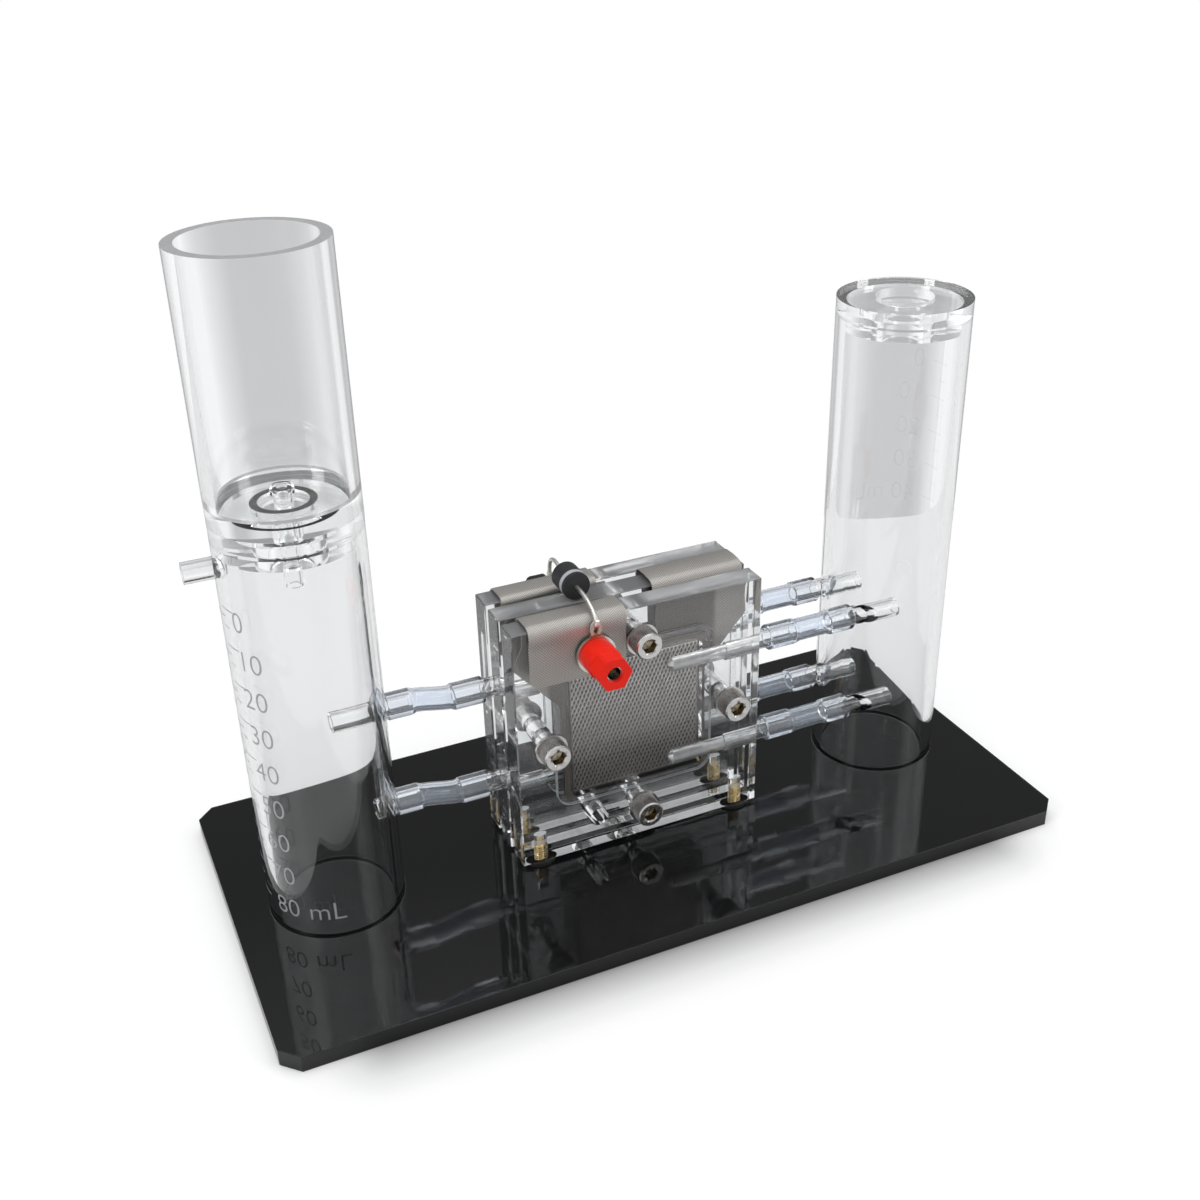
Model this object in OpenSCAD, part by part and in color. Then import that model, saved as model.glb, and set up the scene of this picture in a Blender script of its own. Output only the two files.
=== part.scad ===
// Proton exchange membrane electrolyzer: a clamped two-cell stack between two gas cylinders on one base plate.
// Millimetres, +Z up, front towards -Y, underside of the base plate at z = 0, stack in the middle.

/* [Base] */
// Length of the base plate
base_l = 250; // [240:1:300]
// Width of the base plate
base_w = 120; // [90:1:160]
// Thickness of the base plate
base_t = 5; // [4:0.5:8]
// Cut of the base corners
base_corner = 5; // [1:0.5:15]
// Depth of the groove that seats each cylinder
seat_d = 1; // [0.5:0.25:1.5]
// Side play of a cylinder in its groove
seat_play = 0.1; // [0.05:0.05:0.3]

/* [Fits] */
// Air film between a clear piece and what lies against it
air = 0.04; // [0.02:0.01:0.08]

/* [Cylinders] */
// Outer diameter of the cylinders and of the tank
tube_od = 40; // [38:0.5:42]
// Wall thickness of the cylinders and of the tank
tube_wall = 3; // [2:0.25:3.5]
// Distance from a side of the stack to a cylinder axis
tube_side = 54; // [53:0.5:58]
// Height of the hydrogen cylinder above the base
h2_h = 120; // [112:1:140]
// Height of the oxygen cylinder above the base
o2_h = 150; // [120:1:180]

/* [Caps] */
// Thickness of a cap flange
cap_t = 5; // [4.5:0.25:8]
// Depth of the cap spigot inside the cylinder
spigot_h = 4; // [2:0.5:6]
// Side play of the spigot in the cylinder
spigot_play = 0.1; // [0.05:0.05:0.3]
// Diameter of the socket bore in a cap
cap_bore = 17.2; // [16.8:0.1:20]
// Diameter of the gas hole below the socket bore
cap_hole = 12; // [8:0.5:14]

/* [Overflow tank] */
// Thickness of the tank floor disc
floor_t = 5; // [3:0.5:8]
// Height of the tank wall above its floor
tank_h = 64.88; // [40:0.01:90]
// Side play of the tank plug in the cap bore
plug_play = 0.3; // [0.2:0.05:0.4]
// Gap below the tank plug
plug_gap = 0.4; // [0.2:0.1:1]
// Thickness of the O-ring
ring_t = 1.8; // [1.4:0.1:2.2]
// Running clearance round the O-ring
ring_play = 0.05; // [0.02:0.01:0.08]
// Extra width of the O-ring groove
ring_slack = 0.2; // [0.1:0.05:0.4]
// Outer diameter of the riser tube
riser_od = 5; // [4:0.25:6]
// Bore of the riser tube
riser_id = 3; // [2:0.25:3.5]
// How far the riser tube hangs below the tank floor
riser_drop = 21; // [12:0.5:30]
// Diameter of the riser head
riser_head_d = 6.4; // [6.2:0.1:9]
// Height of the riser head
riser_head_h = 2; // [1:0.25:4]

/* [Stack] */
// Width and height of the clear plates
plate_w = 80; // [78:0.5:84]
// Thickness of a clear plate
plate_t = 8; // [7.5:0.25:9]
// Edge chamfer of the clear plates
plate_edge = 0.4; // [0.2:0.1:0.8]
// Thickness of the washers under the stack
foot_t = 1; // [0.5:0.25:2]
// Diameter of the washers under the stack
foot_d = 10; // [9:0.25:11]
// Width of the flow pockets
pocket_w = 44; // [42.5:0.25:44.5]
// Depth of the flow pockets
pocket_d = 2; // [1.75:0.05:2.25]
// Corner radius of the flow pockets
pocket_r = 2; // [1:0.25:2.5]
// Width of the flow meshes
mesh_w = 42; // [38:0.5:42]
// Rim of the flow meshes
mesh_rim = 1; // [0.5:0.25:2]
// Number of mesh openings across
mesh_nx = 12; // [8:1:14]
// Number of mesh openings upward
mesh_nz = 8; // [6:1:10]
// Strand width of the flow meshes
strand = 0.8; // [0.5:0.1:1.2]
// Outer width of the gaskets
gasket_w = 52; // [50:0.25:52.5]
// Corner radius of the gaskets
gasket_r = 5; // [2:0.5:8]
// Inner width of the gaskets
gasket_in = 44; // [43.5:0.25:46]
// Thickness of a gasket and of an electrode
gasket_t = 0.61; // [0.5:0.01:0.8]
// Width of the electrodes
electrode_w = 43; // [40:0.5:43]
// Width of the membranes
membrane_w = 46.5; // [44:0.5:47]
// Thickness of a membrane
membrane_t = 0.4; // [0.2:0.1:0.6]

/* [Collectors] */
// Thickness of the woven collectors
sheet_t = 0.4; // [0.3:0.05:0.6]
// Width of the sheet over an electrode
sheet_w = 47; // [45:0.25:48]
// Width of a collector tab
tab_w = 30; // [26:0.5:30.5]
// Offset of the plus and minus tabs from the middle
tab_in = 5; // [4:0.25:8]
// Offset of the bridge tab from the middle
bridge_in = 8; // [5:0.25:9]
// How far an outer tab hangs down its plate
tab_drop = 18.5; // [17:0.25:21]
// Inner radius of the folds over the plates
fold_r = 1.6; // [0.8:0.1:2]
// Corner radius of the hanging tabs
tab_r = 3; // [1:0.5:4]
// Top of a tab's slanted edge below the plate top
slant_top = 12; // [10:0.5:18]
// Foot of a tab's slanted edge below the plate top
slant_foot = 28; // [26:0.5:32]

/* [Clamp bolts] */
// Distance of the bolts from the stack middle
bolt_ring = 29.6; // [29.5:0.1:31]
// Bolt diameter
bolt_d = 5; // [4:0.25:5.25]
// Bolt hole diameter
bolt_hole = 6; // [5.5:0.1:6.2]
// Bolt head diameter
head_d = 8.5; // [7.5:0.1:9.5]
// Bolt head height
head_h = 5; // [4:0.25:6]
// Edge chamfer of the bolt heads
head_edge = 0.4; // [0.2:0.1:0.6]
// Hexagon size in the bolt heads
key_af = 4; // [3:0.25:4.5]
// Hexagon depth in the bolt heads
key_d = 2.8; // [2:0.2:3.6]
// Washer diameter
washer_d = 10; // [9:0.25:11]
// Washer thickness
washer_t = 1; // [0.6:0.1:1.4]
// Nut size across flats
nut_af = 8; // [7.5:0.1:9]
// Nut height
nut_h = 4; // [3:0.25:5]
// Bolt length past the nut
bolt_past = 1; // [0:0.25:2]

/* [Screws and dowel] */
// Distance of the base screws from the middle
screw_x = 33.5; // [32:0.25:34.5]
// Base screw diameter
screw_d = 4; // [3:0.25:4.5]
// Base screw head diameter
screw_head_d = 8; // [7:0.25:8.5]
// How far the screw heads sit inside the base
screw_sink = 0.2; // [0.1:0.1:0.5]
// Length of the base screws inside the end plates
screw_in = 5.5; // [4:0.5:8]
// Room past the end of a screw
screw_room = 3.5; // [1:0.25:4]
// Play of the screws in the base and in the foot washers
screw_play = 0.25; // [0.1:0.05:0.4]
// Dowel diameter
dowel_d = 6; // [4:0.25:6.5]
// Distance of the dowel to the left of the middle
dowel_x = 14.7; // [12:0.25:18]
// Depth of the dowel below the stack middle
dowel_down = 29.4; // [29.3:0.1:31]
// Reach of the dowel into the rear plate
dowel_in = 4; // [2:0.5:5]

/* [Nozzles and hoses] */
// Height of each nozzle pair above and below the stack middle
port_z = 16.5; // [15.5:0.25:17.5]
// Nozzle outer diameter
nozzle_od = 6; // [5.5:0.1:6.2]
// Nozzle bore
nozzle_id = 4; // [3:0.1:4.4]
// Depth of a nozzle in its plate
nozzle_in = 11; // [8:0.5:13]
// Nozzle length outside its plate
nozzle_out = 13.5; // [12:0.25:14]
// Nozzle length outside its cylinder
tip_out = 7.5; // [7:0.25:8]
// Diameter of the drilled channels
channel_d = 5; // [4.7:0.05:5.3]
// Distance from the middle to the end of a drilled channel
channel_end = 11; // [6:0.5:16]
// Point angle of the drill
drill_angle = 118; // [90:1:140]
// Lift of the hydrogen cylinder's nozzles over the stack's
h2_rise = 2; // [1:0.25:3]
// Reach of the upper hydrogen nozzle into its cylinder
h2_upper_in = 12.5; // [4:0.5:14]
// Reach of the lower hydrogen nozzle into its cylinder
h2_lower_in = 2; // [1:0.5:6]
// Reach of the oxygen nozzles into their cylinder
o2_in = 14; // [8:0.5:18]
// Hose outer diameter over a nozzle
hose_od = 8; // [7.5:0.1:8.5]
// Hose outer diameter between the nozzles
waist_od = 7; // [6.5:0.1:7.4]
// Hose bore between the nozzles
waist_id = 5.2; // [4.5:0.1:5.6]
// Length of the change in hose diameter
neck = 1.5; // [1:0.25:2.5]
// Width of the bead in the middle of a bent hose
bead_w = 1; // [0.8:0.1:1.6]
// Stand of the bead over the hose
bead_stand = 0.05; // [0.03:0.01:0.1]
// Slit between the halves of a bent hose, under its bead
bend_slit = 0.42; // [0.3:0.02:0.6]
// Grip of a hose on a stack nozzle
grip_stack = 9; // [6:0.5:11]
// Gap between a hydrogen hose and its cylinder
hose_gap = 0.5; // [0.3:0.1:1]
// Grip of an oxygen hose on its cylinder's nozzle
o2_grip = 8; // [6:0.25:8]
// Depth of the outlet spout below the cylinder rim
spout_down = 7; // [7:0.25:12]
// Diameter of the outlet spout inside the cylinder wall
spout_root = 5.4; // [5:0.1:5.6]
// Outlet spout length outside the cylinder
spout_out = 8; // [6:0.5:10]

/* [Sockets] */
// Distance of the sockets to the left of the middle
socket_x = 15; // [13:0.5:16]
// Depth of the sockets below the plate top
socket_down = 11; // [10:0.25:11.5]
// Diameter of a socket head at its back
socket_d = 10.4; // [10:0.1:11.5]
// Size of a socket head across its flats
socket_af = 9.4; // [9:0.1:9.8]
// Length of a socket head
socket_h = 12.5; // [11:0.25:15]
// Length of the round back part of a socket head
socket_round = 6; // [4:0.25:7]
// Opening in the front of a socket head
socket_mouth = 4.8; // [4.5:0.1:5.4]
// Thickness of the socket head's front lip
socket_lip = 1; // [0.6:0.1:2]
// Bush outer diameter
bush_d = 6; // [5.8:0.1:6.6]
// Bush bore for a plug
bush_id = 4; // [3.9:0.1:4.2]
// Depth of the plug bore
bush_bore = 10; // [7:0.5:10]
// Stud diameter
stud_d = 4; // [3:0.25:4]
// Stud reach into the plate
stud_in = 6; // [4:0.25:6.5]
// Socket washer diameter
socket_washer_d = 12; // [10:0.25:13]
// Socket washer thickness
socket_washer_t = 1; // [0.6:0.1:1.4]
// Play of the washer and lug on the stud
stud_play = 0.1; // [0.05:0.05:0.3]
// Solder lug thickness
lug_t = 0.8; // [0.7:0.05:1]
// Solder lug ring diameter
lug_d = 8; // [7:0.25:9]
// Solder lug tab width
lug_w = 4.2; // [3.6:0.1:4.6]
// Reach of the solder lug above the socket axis
lug_up = 10.2; // [9.6:0.1:10.6]
// Corner radius of the solder lug tab
lug_r = 1.4; // [0.8:0.1:1.6]
// Eye diameter in the solder lug tab
lug_eye = 2; // [1.4:0.1:2.2]

/* [Diode] */
// Diode diameter
diode_d = 8.4; // [7:0.2:9]
// Diode length
diode_l = 8.6; // [7:0.2:10]
// Offset of the diode's middle towards the rear
diode_y = 1; // [-2:0.25:2]
// Height of the diode axis above the plate top
diode_z = 4.7; // [4.6:0.1:7]
// Width of the diode band
band_w = 1.6; // [1:0.1:2.5]
// Distance of the band from the diode's front end
band_y = 1.2; // [0.6:0.1:2.5]
// Depth of the band in the diode
band_in = 0.3; // [0.2:0.05:0.5]
// Stand of the band over the diode
band_out = 0.05; // [0:0.01:0.1]
// Lead diameter
lead_d = 1.3; // [1:0.05:1.35]
// Bend radius of the leads
lead_r = 4; // [2:0.25:5]

/* [Hidden] */
$fn = 72;
eps = 0.01;
tube_r = tube_od / 2;
tube_ir = tube_r - tube_wall;
seat_z = base_t - seat_d;
h2_top = base_t + h2_h;
o2_top = base_t + o2_h;
floor_z = h2_top + cap_t + 2 * air;
tank_z = floor_z + floor_t + air;
plug_d = cap_bore - 2 * plug_play;
plug_z = h2_top + air + plug_gap;
ring_od = cap_bore - 2 * ring_play;
ring_z = floor_z - (ring_t + ring_slack) / 2;
stack_z = base_t + foot_t + air;
mid_z = stack_z + plate_w / 2;
top_z = stack_z + plate_w;
lid_z = top_z + air;
gap = 2 * (air + sheet_t + gasket_t) + membrane_t;
mid_y = plate_t / 2;
in_y = mid_y + gap;
out_y = in_y + plate_t;
skin_y = out_y + air;
end_y = (in_y + out_y) / 2;
half = plate_w / 2;
tube_x = half + tube_side;
stack_tip = half + nozzle_out;
tube_tip = tube_x - tube_r - tip_out;
wall_x = tube_x - tube_ir;
sleeve_r = nozzle_od / 2 + air;
bend_l = tube_tip - stack_tip - 2 * neck;
bend_a = 2 * atan(h2_rise / bend_l);
bend_r = bend_l / (2 * sin(bend_a));
bend_gap = asin(bend_slit / 2 / bend_r);
socket_z = top_z - socket_down;
lug_y = skin_y + sheet_t;
washer_y = lug_y + lug_t;
head_y = washer_y + socket_washer_t;
tip_y = head_y + socket_h;
axis_z = top_z + diode_z;
lead_y = lug_y + lead_d / 2 + air;
drill_tip = channel_d / 2 / tan(drill_angle / 2);

// Round bar along X from x0 to x1
module bar_x(x0, x1, d) {
    translate([x0, 0, 0])
        rotate([0, 90, 0])
            cylinder(h = x1 - x0, d = d);
}

// Round bar along Y from y0 to y1
module bar_y(y0, y1, d) {
    translate([0, y0, 0])
        rotate([-90, 0, 0])
            cylinder(h = y1 - y0, d = d);
}

// Cone along X, diameter d0 at x0 and d1 at x1
module cone_x(x0, x1, d0, d1) {
    translate([x0, 0, 0])
        rotate([0, 90, 0])
            cylinder(h = x1 - x0, d1 = d0, d2 = d1);
}

// Upright outline in X and Z, y0 to y1 thick
module upright(y0, y1) {
    translate([0, y1, 0])
        rotate([90, 0, 0])
            linear_extrude(height = y1 - y0)
                children();
}

// Square with round corners about the origin
module round_square(w, r) {
    square([w, w - 2 * r], center = true);
    square([w - 2 * r, w], center = true);
    for (sx = [-1, 1], sz = [-1, 1])
        translate([sx * (w / 2 - r), sz * (w / 2 - r)])
            circle(r = r);
}

// Rectangle with cut corners about the origin
module cut_rect(a, b, c) {
    polygon([
        [-a / 2 + c, -b / 2], [a / 2 - c, -b / 2], [a / 2, -b / 2 + c], [a / 2, b / 2 - c],
        [a / 2 - c, b / 2], [-a / 2 + c, b / 2], [-a / 2, b / 2 - c], [-a / 2, -b / 2 + c]
    ]);
}

// Clear plate with chamfered edges, middle at depth y
module plate_blank(y) {
    translate([0, y, mid_z])
        intersection() {
            linear_extrude(height = plate_w, center = true)
                cut_rect(plate_w, plate_t, plate_edge);
            rotate([90, 0, 0])
                linear_extrude(height = plate_t, center = true)
                    cut_rect(plate_w, plate_w, plate_edge);
            rotate([0, 90, 0])
                linear_extrude(height = plate_w, center = true)
                    cut_rect(plate_w, plate_t, plate_edge);
        }
}

// Puts children at the four bolt places
module at_bolts() {
    for (a = [0, 90, 180, 270])
        translate([bolt_ring * cos(a), 0, mid_z + bolt_ring * sin(a)])
            children();
}

// Puts children at the four base screws
module at_screws() {
    for (sx = [-1, 1], sy = [-1, 1])
        translate([sx * screw_x, sy * end_y, 0])
            children();
}

// Pair of drilled channels from the right face at depth y
module channels(y) {
    for (s = [-1, 1])
        translate([0, y, mid_z + s * port_z]) {
            bar_x(half - nozzle_in - air, half + 1, nozzle_od + 2 * air);
            bar_x(channel_end, half, channel_d);
            cone_x(channel_end - drill_tip, channel_end, 0, channel_d);
        }
}

// Pocket sunk from face y0 to y1
module pocket(y0, y1) {
    translate([0, 0, mid_z])
        upright(y0, y1)
            round_square(pocket_w, pocket_r);
}

// Bolt holes and dowel hole through a plate
module through_holes() {
    at_bolts()
        bar_y(-out_y - 1, out_y + 1, bolt_hole);
    translate([-dowel_x, 0, mid_z - dowel_down])
        bar_y(-out_y - 1, in_y + dowel_in + air, dowel_d + 2 * air);
}

// Threaded holes for the base screws and the socket stud of an end plate, front or rear by s
module end_holes(s) {
    for (sx = [-1, 1])
        translate([sx * screw_x, s * end_y, stack_z - 1])
            cylinder(h = screw_in + screw_room + 1, d = screw_d + 2 * air);
    translate([-socket_x, s * (out_y - stud_in / 2 + 0.5), socket_z])
        bar_y(-stud_in / 2 - 0.5 - air, stud_in / 2 + 0.5 + air, stud_d + 2 * air);
}

module base_plate() {
    color([0.04, 0.04, 0.045])
        difference() {
            linear_extrude(height = base_t)
                cut_rect(base_l, base_w, base_corner);
            for (s = [-1, 1])
                translate([s * tube_x, 0, seat_z])
                    difference() {
                        cylinder(h = seat_d + 1, r = tube_r + seat_play);
                        translate([0, 0, -1])
                            cylinder(h = seat_d + 3, r = tube_ir - seat_play);
                    }
            at_screws() {
                translate([0, 0, -1])
                    cylinder(h = base_t + 2, d = screw_d + 2 * screw_play);
                translate([0, 0, -1])
                    cylinder(h = 1 + screw_sink, d = screw_head_d);
                translate([0, 0, screw_sink])
                    cylinder(h = screw_head_d / 2, d1 = screw_head_d, d2 = 0);
            }
        }
}

module stack_screws() {
    color([0.78, 0.62, 0.30])
        at_screws() {
            translate([0, 0, screw_sink])
                cylinder(h = (screw_head_d - screw_d) / 2, d1 = screw_head_d, d2 = screw_d);
            translate([0, 0, screw_sink])
                cylinder(h = stack_z + screw_in - screw_sink, d = screw_d);
        }
}

module foot_washers() {
    color([0.05, 0.05, 0.05])
        at_screws()
            translate([0, 0, base_t])
                difference() {
                    cylinder(h = foot_t, d = foot_d);
                    translate([0, 0, -1])
                        cylinder(h = foot_t + 2, d = screw_d + 2 * screw_play);
                }
}

module front_end_plate() {
    color([0.85, 0.90, 0.92, 0.35])
        difference() {
            plate_blank(-end_y);
            pocket(-in_y - pocket_d, -in_y + 1);
            channels(-end_y);
            through_holes();
            end_holes(-1);
        }
}

module middle_plate() {
    color([0.85, 0.90, 0.92, 0.35])
        difference() {
            plate_blank(0);
            pocket(-mid_y - 1, -mid_y + pocket_d);
            pocket(mid_y - pocket_d, mid_y + 1);
            mirror([1, 0, 0])
                channels(0);
            through_holes();
        }
}

module rear_end_plate() {
    color([0.85, 0.90, 0.92, 0.35])
        difference() {
            plate_blank(end_y);
            pocket(in_y - 1, in_y + pocket_d);
            channels(end_y);
            through_holes();
            end_holes(1);
        }
}

// Expanded-metal sheet between depths y0 and y1
module flow_mesh(y0, y1) {
    field = mesh_w - 2 * mesh_rim;
    px = field / mesh_nx;
    pz = field / mesh_nz;
    dx = px / 2 - strand / 2;
    dz = pz / 2 * dx / (px / 2);
    translate([0, 0, mid_z])
        upright(y0, y1)
            difference() {
                square([mesh_w, mesh_w], center = true);
                for (i = [0 : mesh_nx - 1], k = [0 : mesh_nz - 1])
                    translate([-field / 2 + (i + 0.5) * px, -field / 2 + (k + 0.5) * pz])
                        polygon([[dx, 0], [0, dz], [-dx, 0], [0, -dz]]);
                for (i = [1 : mesh_nx - 1], k = [1 : mesh_nz - 1])
                    translate([-field / 2 + i * px, -field / 2 + k * pz])
                        polygon([[dx, 0], [0, dz], [-dx, 0], [0, -dz]]);
            }
}

module front_plate_flow_mesh() {
    color([0.55, 0.54, 0.52])
        flow_mesh(-in_y - pocket_d + air, -in_y + air);
}

module middle_front_flow_mesh() {
    color([0.55, 0.54, 0.52])
        flow_mesh(-mid_y - air, -mid_y + pocket_d - air);
}

module middle_rear_flow_mesh() {
    color([0.55, 0.54, 0.52])
        flow_mesh(mid_y - pocket_d + air, mid_y + air);
}

module rear_plate_flow_mesh() {
    color([0.55, 0.54, 0.52])
        flow_mesh(in_y - air, in_y + pocket_d - air);
}

// Collector leaf over an electrode with a tab up to the plate top, tab to the left, x from -a1 to -a0
module leaf(y0, y1, a0, a1) {
    w = sheet_w / 2;
    upright(y0, y1)
        polygon([
            [-a1, lid_z], [-a0, lid_z], [-a0, mid_z + w], [w, mid_z + w], [w, mid_z - w], [-w, mid_z - w],
            [-w, top_z - slant_foot], [-a1, top_z - slant_top]
        ]);
}

// Fold of a collector over a plate's top, from depth y0 to y1, x from -a1 to -a0
module fold(y0, y1, a0, a1) {
    r = fold_r + sheet_t;
    translate([-a1, y0 + fold_r, lid_z + fold_r])
        cube([a1 - a0, y1 - y0 - 2 * fold_r, sheet_t]);
    for (s = [-1, 1])
        translate([0, s < 0 ? y0 + fold_r : y1 - fold_r, lid_z])
            intersection() {
                difference() {
                    bar_x(-a1, -a0, 2 * r);
                    bar_x(-a1 - 1, -a0 + 1, 2 * fold_r);
                }
                translate([-a1 - 1, s < 0 ? -r - 1 : 0, 0])
                    cube([a1 - a0 + 2, r + 1, r + 1]);
            }
}

// Collector that folds over an end plate to the outside
module outer_collector() {
    a0 = tab_in;
    a1 = tab_in + tab_w;
    low = top_z - tab_drop;
    difference() {
        union() {
            leaf(-in_y + air, -in_y + air + sheet_t, a0, a1);
            fold(-skin_y, -in_y + air, a0, a1);
            upright(-lug_y, -skin_y) {
                translate([-a1, low + tab_r])
                    square([tab_w, lid_z - low - tab_r]);
                translate([-a1 + tab_r, low])
                    square([tab_w - 2 * tab_r, tab_r + eps]);
                for (x = [-a1 + tab_r, -a0 - tab_r])
                    translate([x, low + tab_r])
                        circle(r = tab_r);
            }
        }
        translate([-socket_x, 0, socket_z])
            bar_y(-out_y - 1, -out_y + 1, stud_d);
    }
}

module plus_collector() {
    color([0.62, 0.58, 0.54])
        outer_collector();
}

module bridge_collector() {
    color([0.62, 0.58, 0.54])
        mirror([1, 0, 0]) {
            leaf(-mid_y - air - sheet_t, -mid_y - air, bridge_in, bridge_in + tab_w);
            fold(-mid_y - air, mid_y + air, bridge_in, bridge_in + tab_w);
            leaf(mid_y + air, mid_y + air + sheet_t, bridge_in, bridge_in + tab_w);
        }
}

module minus_collector() {
    color([0.62, 0.58, 0.54])
        mirror([0, 1, 0])
            outer_collector();
}

// Gasket frame from depth y0
module gasket(y0) {
    translate([0, 0, mid_z])
        upright(y0, y0 + gasket_t)
            difference() {
                round_square(gasket_w, gasket_r);
                square([gasket_in, gasket_in], center = true);
            }
}

// Electrode square from depth y0
module electrode(y0) {
    translate([0, y0 + gasket_t / 2, mid_z])
        cube([electrode_w, gasket_t, electrode_w], center = true);
}

module front_cell_gaskets() {
    color([0.70, 0.72, 0.73, 0.6]) {
        gasket(-in_y + air + sheet_t);
        gasket(-mid_y - air - sheet_t - gasket_t);
    }
}

module rear_cell_gaskets() {
    color([0.70, 0.72, 0.73, 0.6]) {
        gasket(mid_y + air + sheet_t);
        gasket(in_y - air - sheet_t - gasket_t);
    }
}

module front_cell_electrodes() {
    color([0.06, 0.06, 0.07]) {
        electrode(-in_y + air + sheet_t);
        electrode(-mid_y - air - sheet_t - gasket_t);
    }
}

module rear_cell_electrodes() {
    color([0.06, 0.06, 0.07]) {
        electrode(mid_y + air + sheet_t);
        electrode(in_y - air - sheet_t - gasket_t);
    }
}

// Membrane in the middle of a gap, front or rear by s
module membrane(s) {
    translate([0, s * (mid_y + in_y) / 2, mid_z])
        cube([membrane_w, membrane_t, membrane_w], center = true);
}

module front_membrane() {
    color([0.80, 0.76, 0.62])
        membrane(-1);
}

module rear_membrane() {
    color([0.80, 0.76, 0.62])
        membrane(1);
}

module clamp_bolts() {
    face = skin_y + washer_t;
    color([0.72, 0.72, 0.72])
        at_bolts() {
            difference() {
                union() {
                    bar_y(-face - head_h + head_edge, -face, head_d);
                    translate([0, -face - head_h, 0])
                        rotate([-90, 0, 0])
                            cylinder(h = head_edge, d1 = head_d - 2 * head_edge, d2 = head_d);
                    bar_y(-face, face + nut_h + bolt_past, bolt_d);
                }
                translate([0, -face - head_h - 1, 0])
                    rotate([-90, 0, 0])
                        cylinder(h = key_d + 1, d = key_af / cos(30), $fn = 6);
            }
        }
}

// Four washers from depth y0
module washers(y0) {
    at_bolts()
        difference() {
            bar_y(y0, y0 + washer_t, washer_d);
            bar_y(y0 - 1, y0 + washer_t + 1, bolt_d);
        }
}

module head_washers() {
    color([0.75, 0.75, 0.75])
        washers(-skin_y - washer_t);
}

module rear_washers() {
    color([0.75, 0.75, 0.75])
        washers(skin_y);
}

module clamp_nuts() {
    color([0.70, 0.70, 0.70])
        at_bolts()
            difference() {
                translate([0, skin_y + washer_t, 0])
                    rotate([-90, 0, 0])
                        cylinder(h = nut_h, d = nut_af / cos(30), $fn = 6);
                bar_y(skin_y, skin_y + washer_t + nut_h + 1, bolt_d);
            }
}

module locating_dowel() {
    color([0.90, 0.93, 0.95, 0.5])
        translate([-dowel_x, 0, mid_z - dowel_down])
            bar_y(-out_y, in_y + dowel_in, dowel_d);
}

// Puts children on the front socket's axis
module at_socket() {
    translate([-socket_x, 0, socket_z])
        children();
}

// Round-backed hexagonal insulated head
module socket_head() {
    at_socket()
        difference() {
            intersection() {
                bar_y(-tip_y, -head_y, socket_d);
                union() {
                    bar_y(-head_y - socket_round, -head_y, socket_d);
                    translate([0, -head_y - socket_round - (socket_d - socket_af) / 2, 0])
                        rotate([-90, 0, 0])
                            cylinder(h = (socket_d - socket_af) / 2, d1 = socket_af, d2 = socket_d);
                    translate([0, -tip_y, 0])
                        rotate([-90, 0, 0])
                            cylinder(h = socket_h, d = socket_af / cos(30), $fn = 6);
                }
            }
            bar_y(-tip_y + socket_lip, -head_y + 1, bush_d);
            bar_y(-tip_y - 1, -head_y + 1, socket_mouth);
        }
}

// Metal bush with its threaded stud
module socket_bush() {
    at_socket()
        difference() {
            union() {
                bar_y(-tip_y + socket_lip, -head_y, bush_d);
                bar_y(-head_y, -out_y + stud_in, stud_d);
            }
            bar_y(-tip_y, -tip_y + socket_lip + bush_bore, bush_id);
        }
}

// Flat washer behind a socket head
module socket_washer() {
    at_socket()
        difference() {
            bar_y(-head_y, -washer_y, socket_washer_d);
            bar_y(-head_y - 1, -washer_y + 1, stud_d + 2 * stud_play);
        }
}

// Ring with an upright solder tab that has an eye
module solder_lug() {
    at_socket()
        difference() {
            union() {
                bar_y(-washer_y, -lug_y, lug_d);
                translate([-lug_w / 2, -washer_y, 0])
                    cube([lug_w, lug_t, lug_up - lug_r]);
                translate([-lug_w / 2 + lug_r, -washer_y, 0])
                    cube([lug_w - 2 * lug_r, lug_t, lug_up]);
                for (s = [-1, 1])
                    translate([s * (lug_w / 2 - lug_r), 0, lug_up - lug_r])
                        bar_y(-washer_y, -lug_y, 2 * lug_r);
            }
            bar_y(-washer_y - 1, -lug_y + 1, stud_d + 2 * stud_play);
            translate([0, 0, lug_up - lug_w / 2])
                bar_y(-washer_y - 1, -lug_y + 1, lug_eye);
        }
}

module plus_socket_head() {
    color([0.85, 0.08, 0.06])
        socket_head();
}

module plus_socket_bush() {
    color([0.75, 0.70, 0.55])
        socket_bush();
}

module plus_socket_washer() {
    color([0.75, 0.75, 0.75])
        socket_washer();
}

module plus_solder_lug() {
    color([0.78, 0.77, 0.74])
        solder_lug();
}

module minus_socket_head() {
    color([0.06, 0.06, 0.06])
        mirror([0, 1, 0])
            socket_head();
}

module minus_socket_bush() {
    color([0.75, 0.70, 0.55])
        mirror([0, 1, 0])
            socket_bush();
}

module minus_socket_washer() {
    color([0.75, 0.75, 0.75])
        mirror([0, 1, 0])
            socket_washer();
}

module minus_solder_lug() {
    color([0.78, 0.77, 0.74])
        mirror([0, 1, 0])
            solder_lug();
}

// Puts children on the diode axis
module at_diode() {
    translate([-socket_x, 0, axis_z])
        children();
}

module diode_body() {
    front = diode_y - diode_l / 2;
    color([0.07, 0.07, 0.07])
        at_diode()
            difference() {
                bar_y(front, front + diode_l, diode_d);
                difference() {
                    bar_y(front + band_y, front + band_y + band_w, diode_d + 1);
                    bar_y(front + band_y - 1, front + band_y + band_w + 1, diode_d - 2 * band_in);
                }
            }
}

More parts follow.
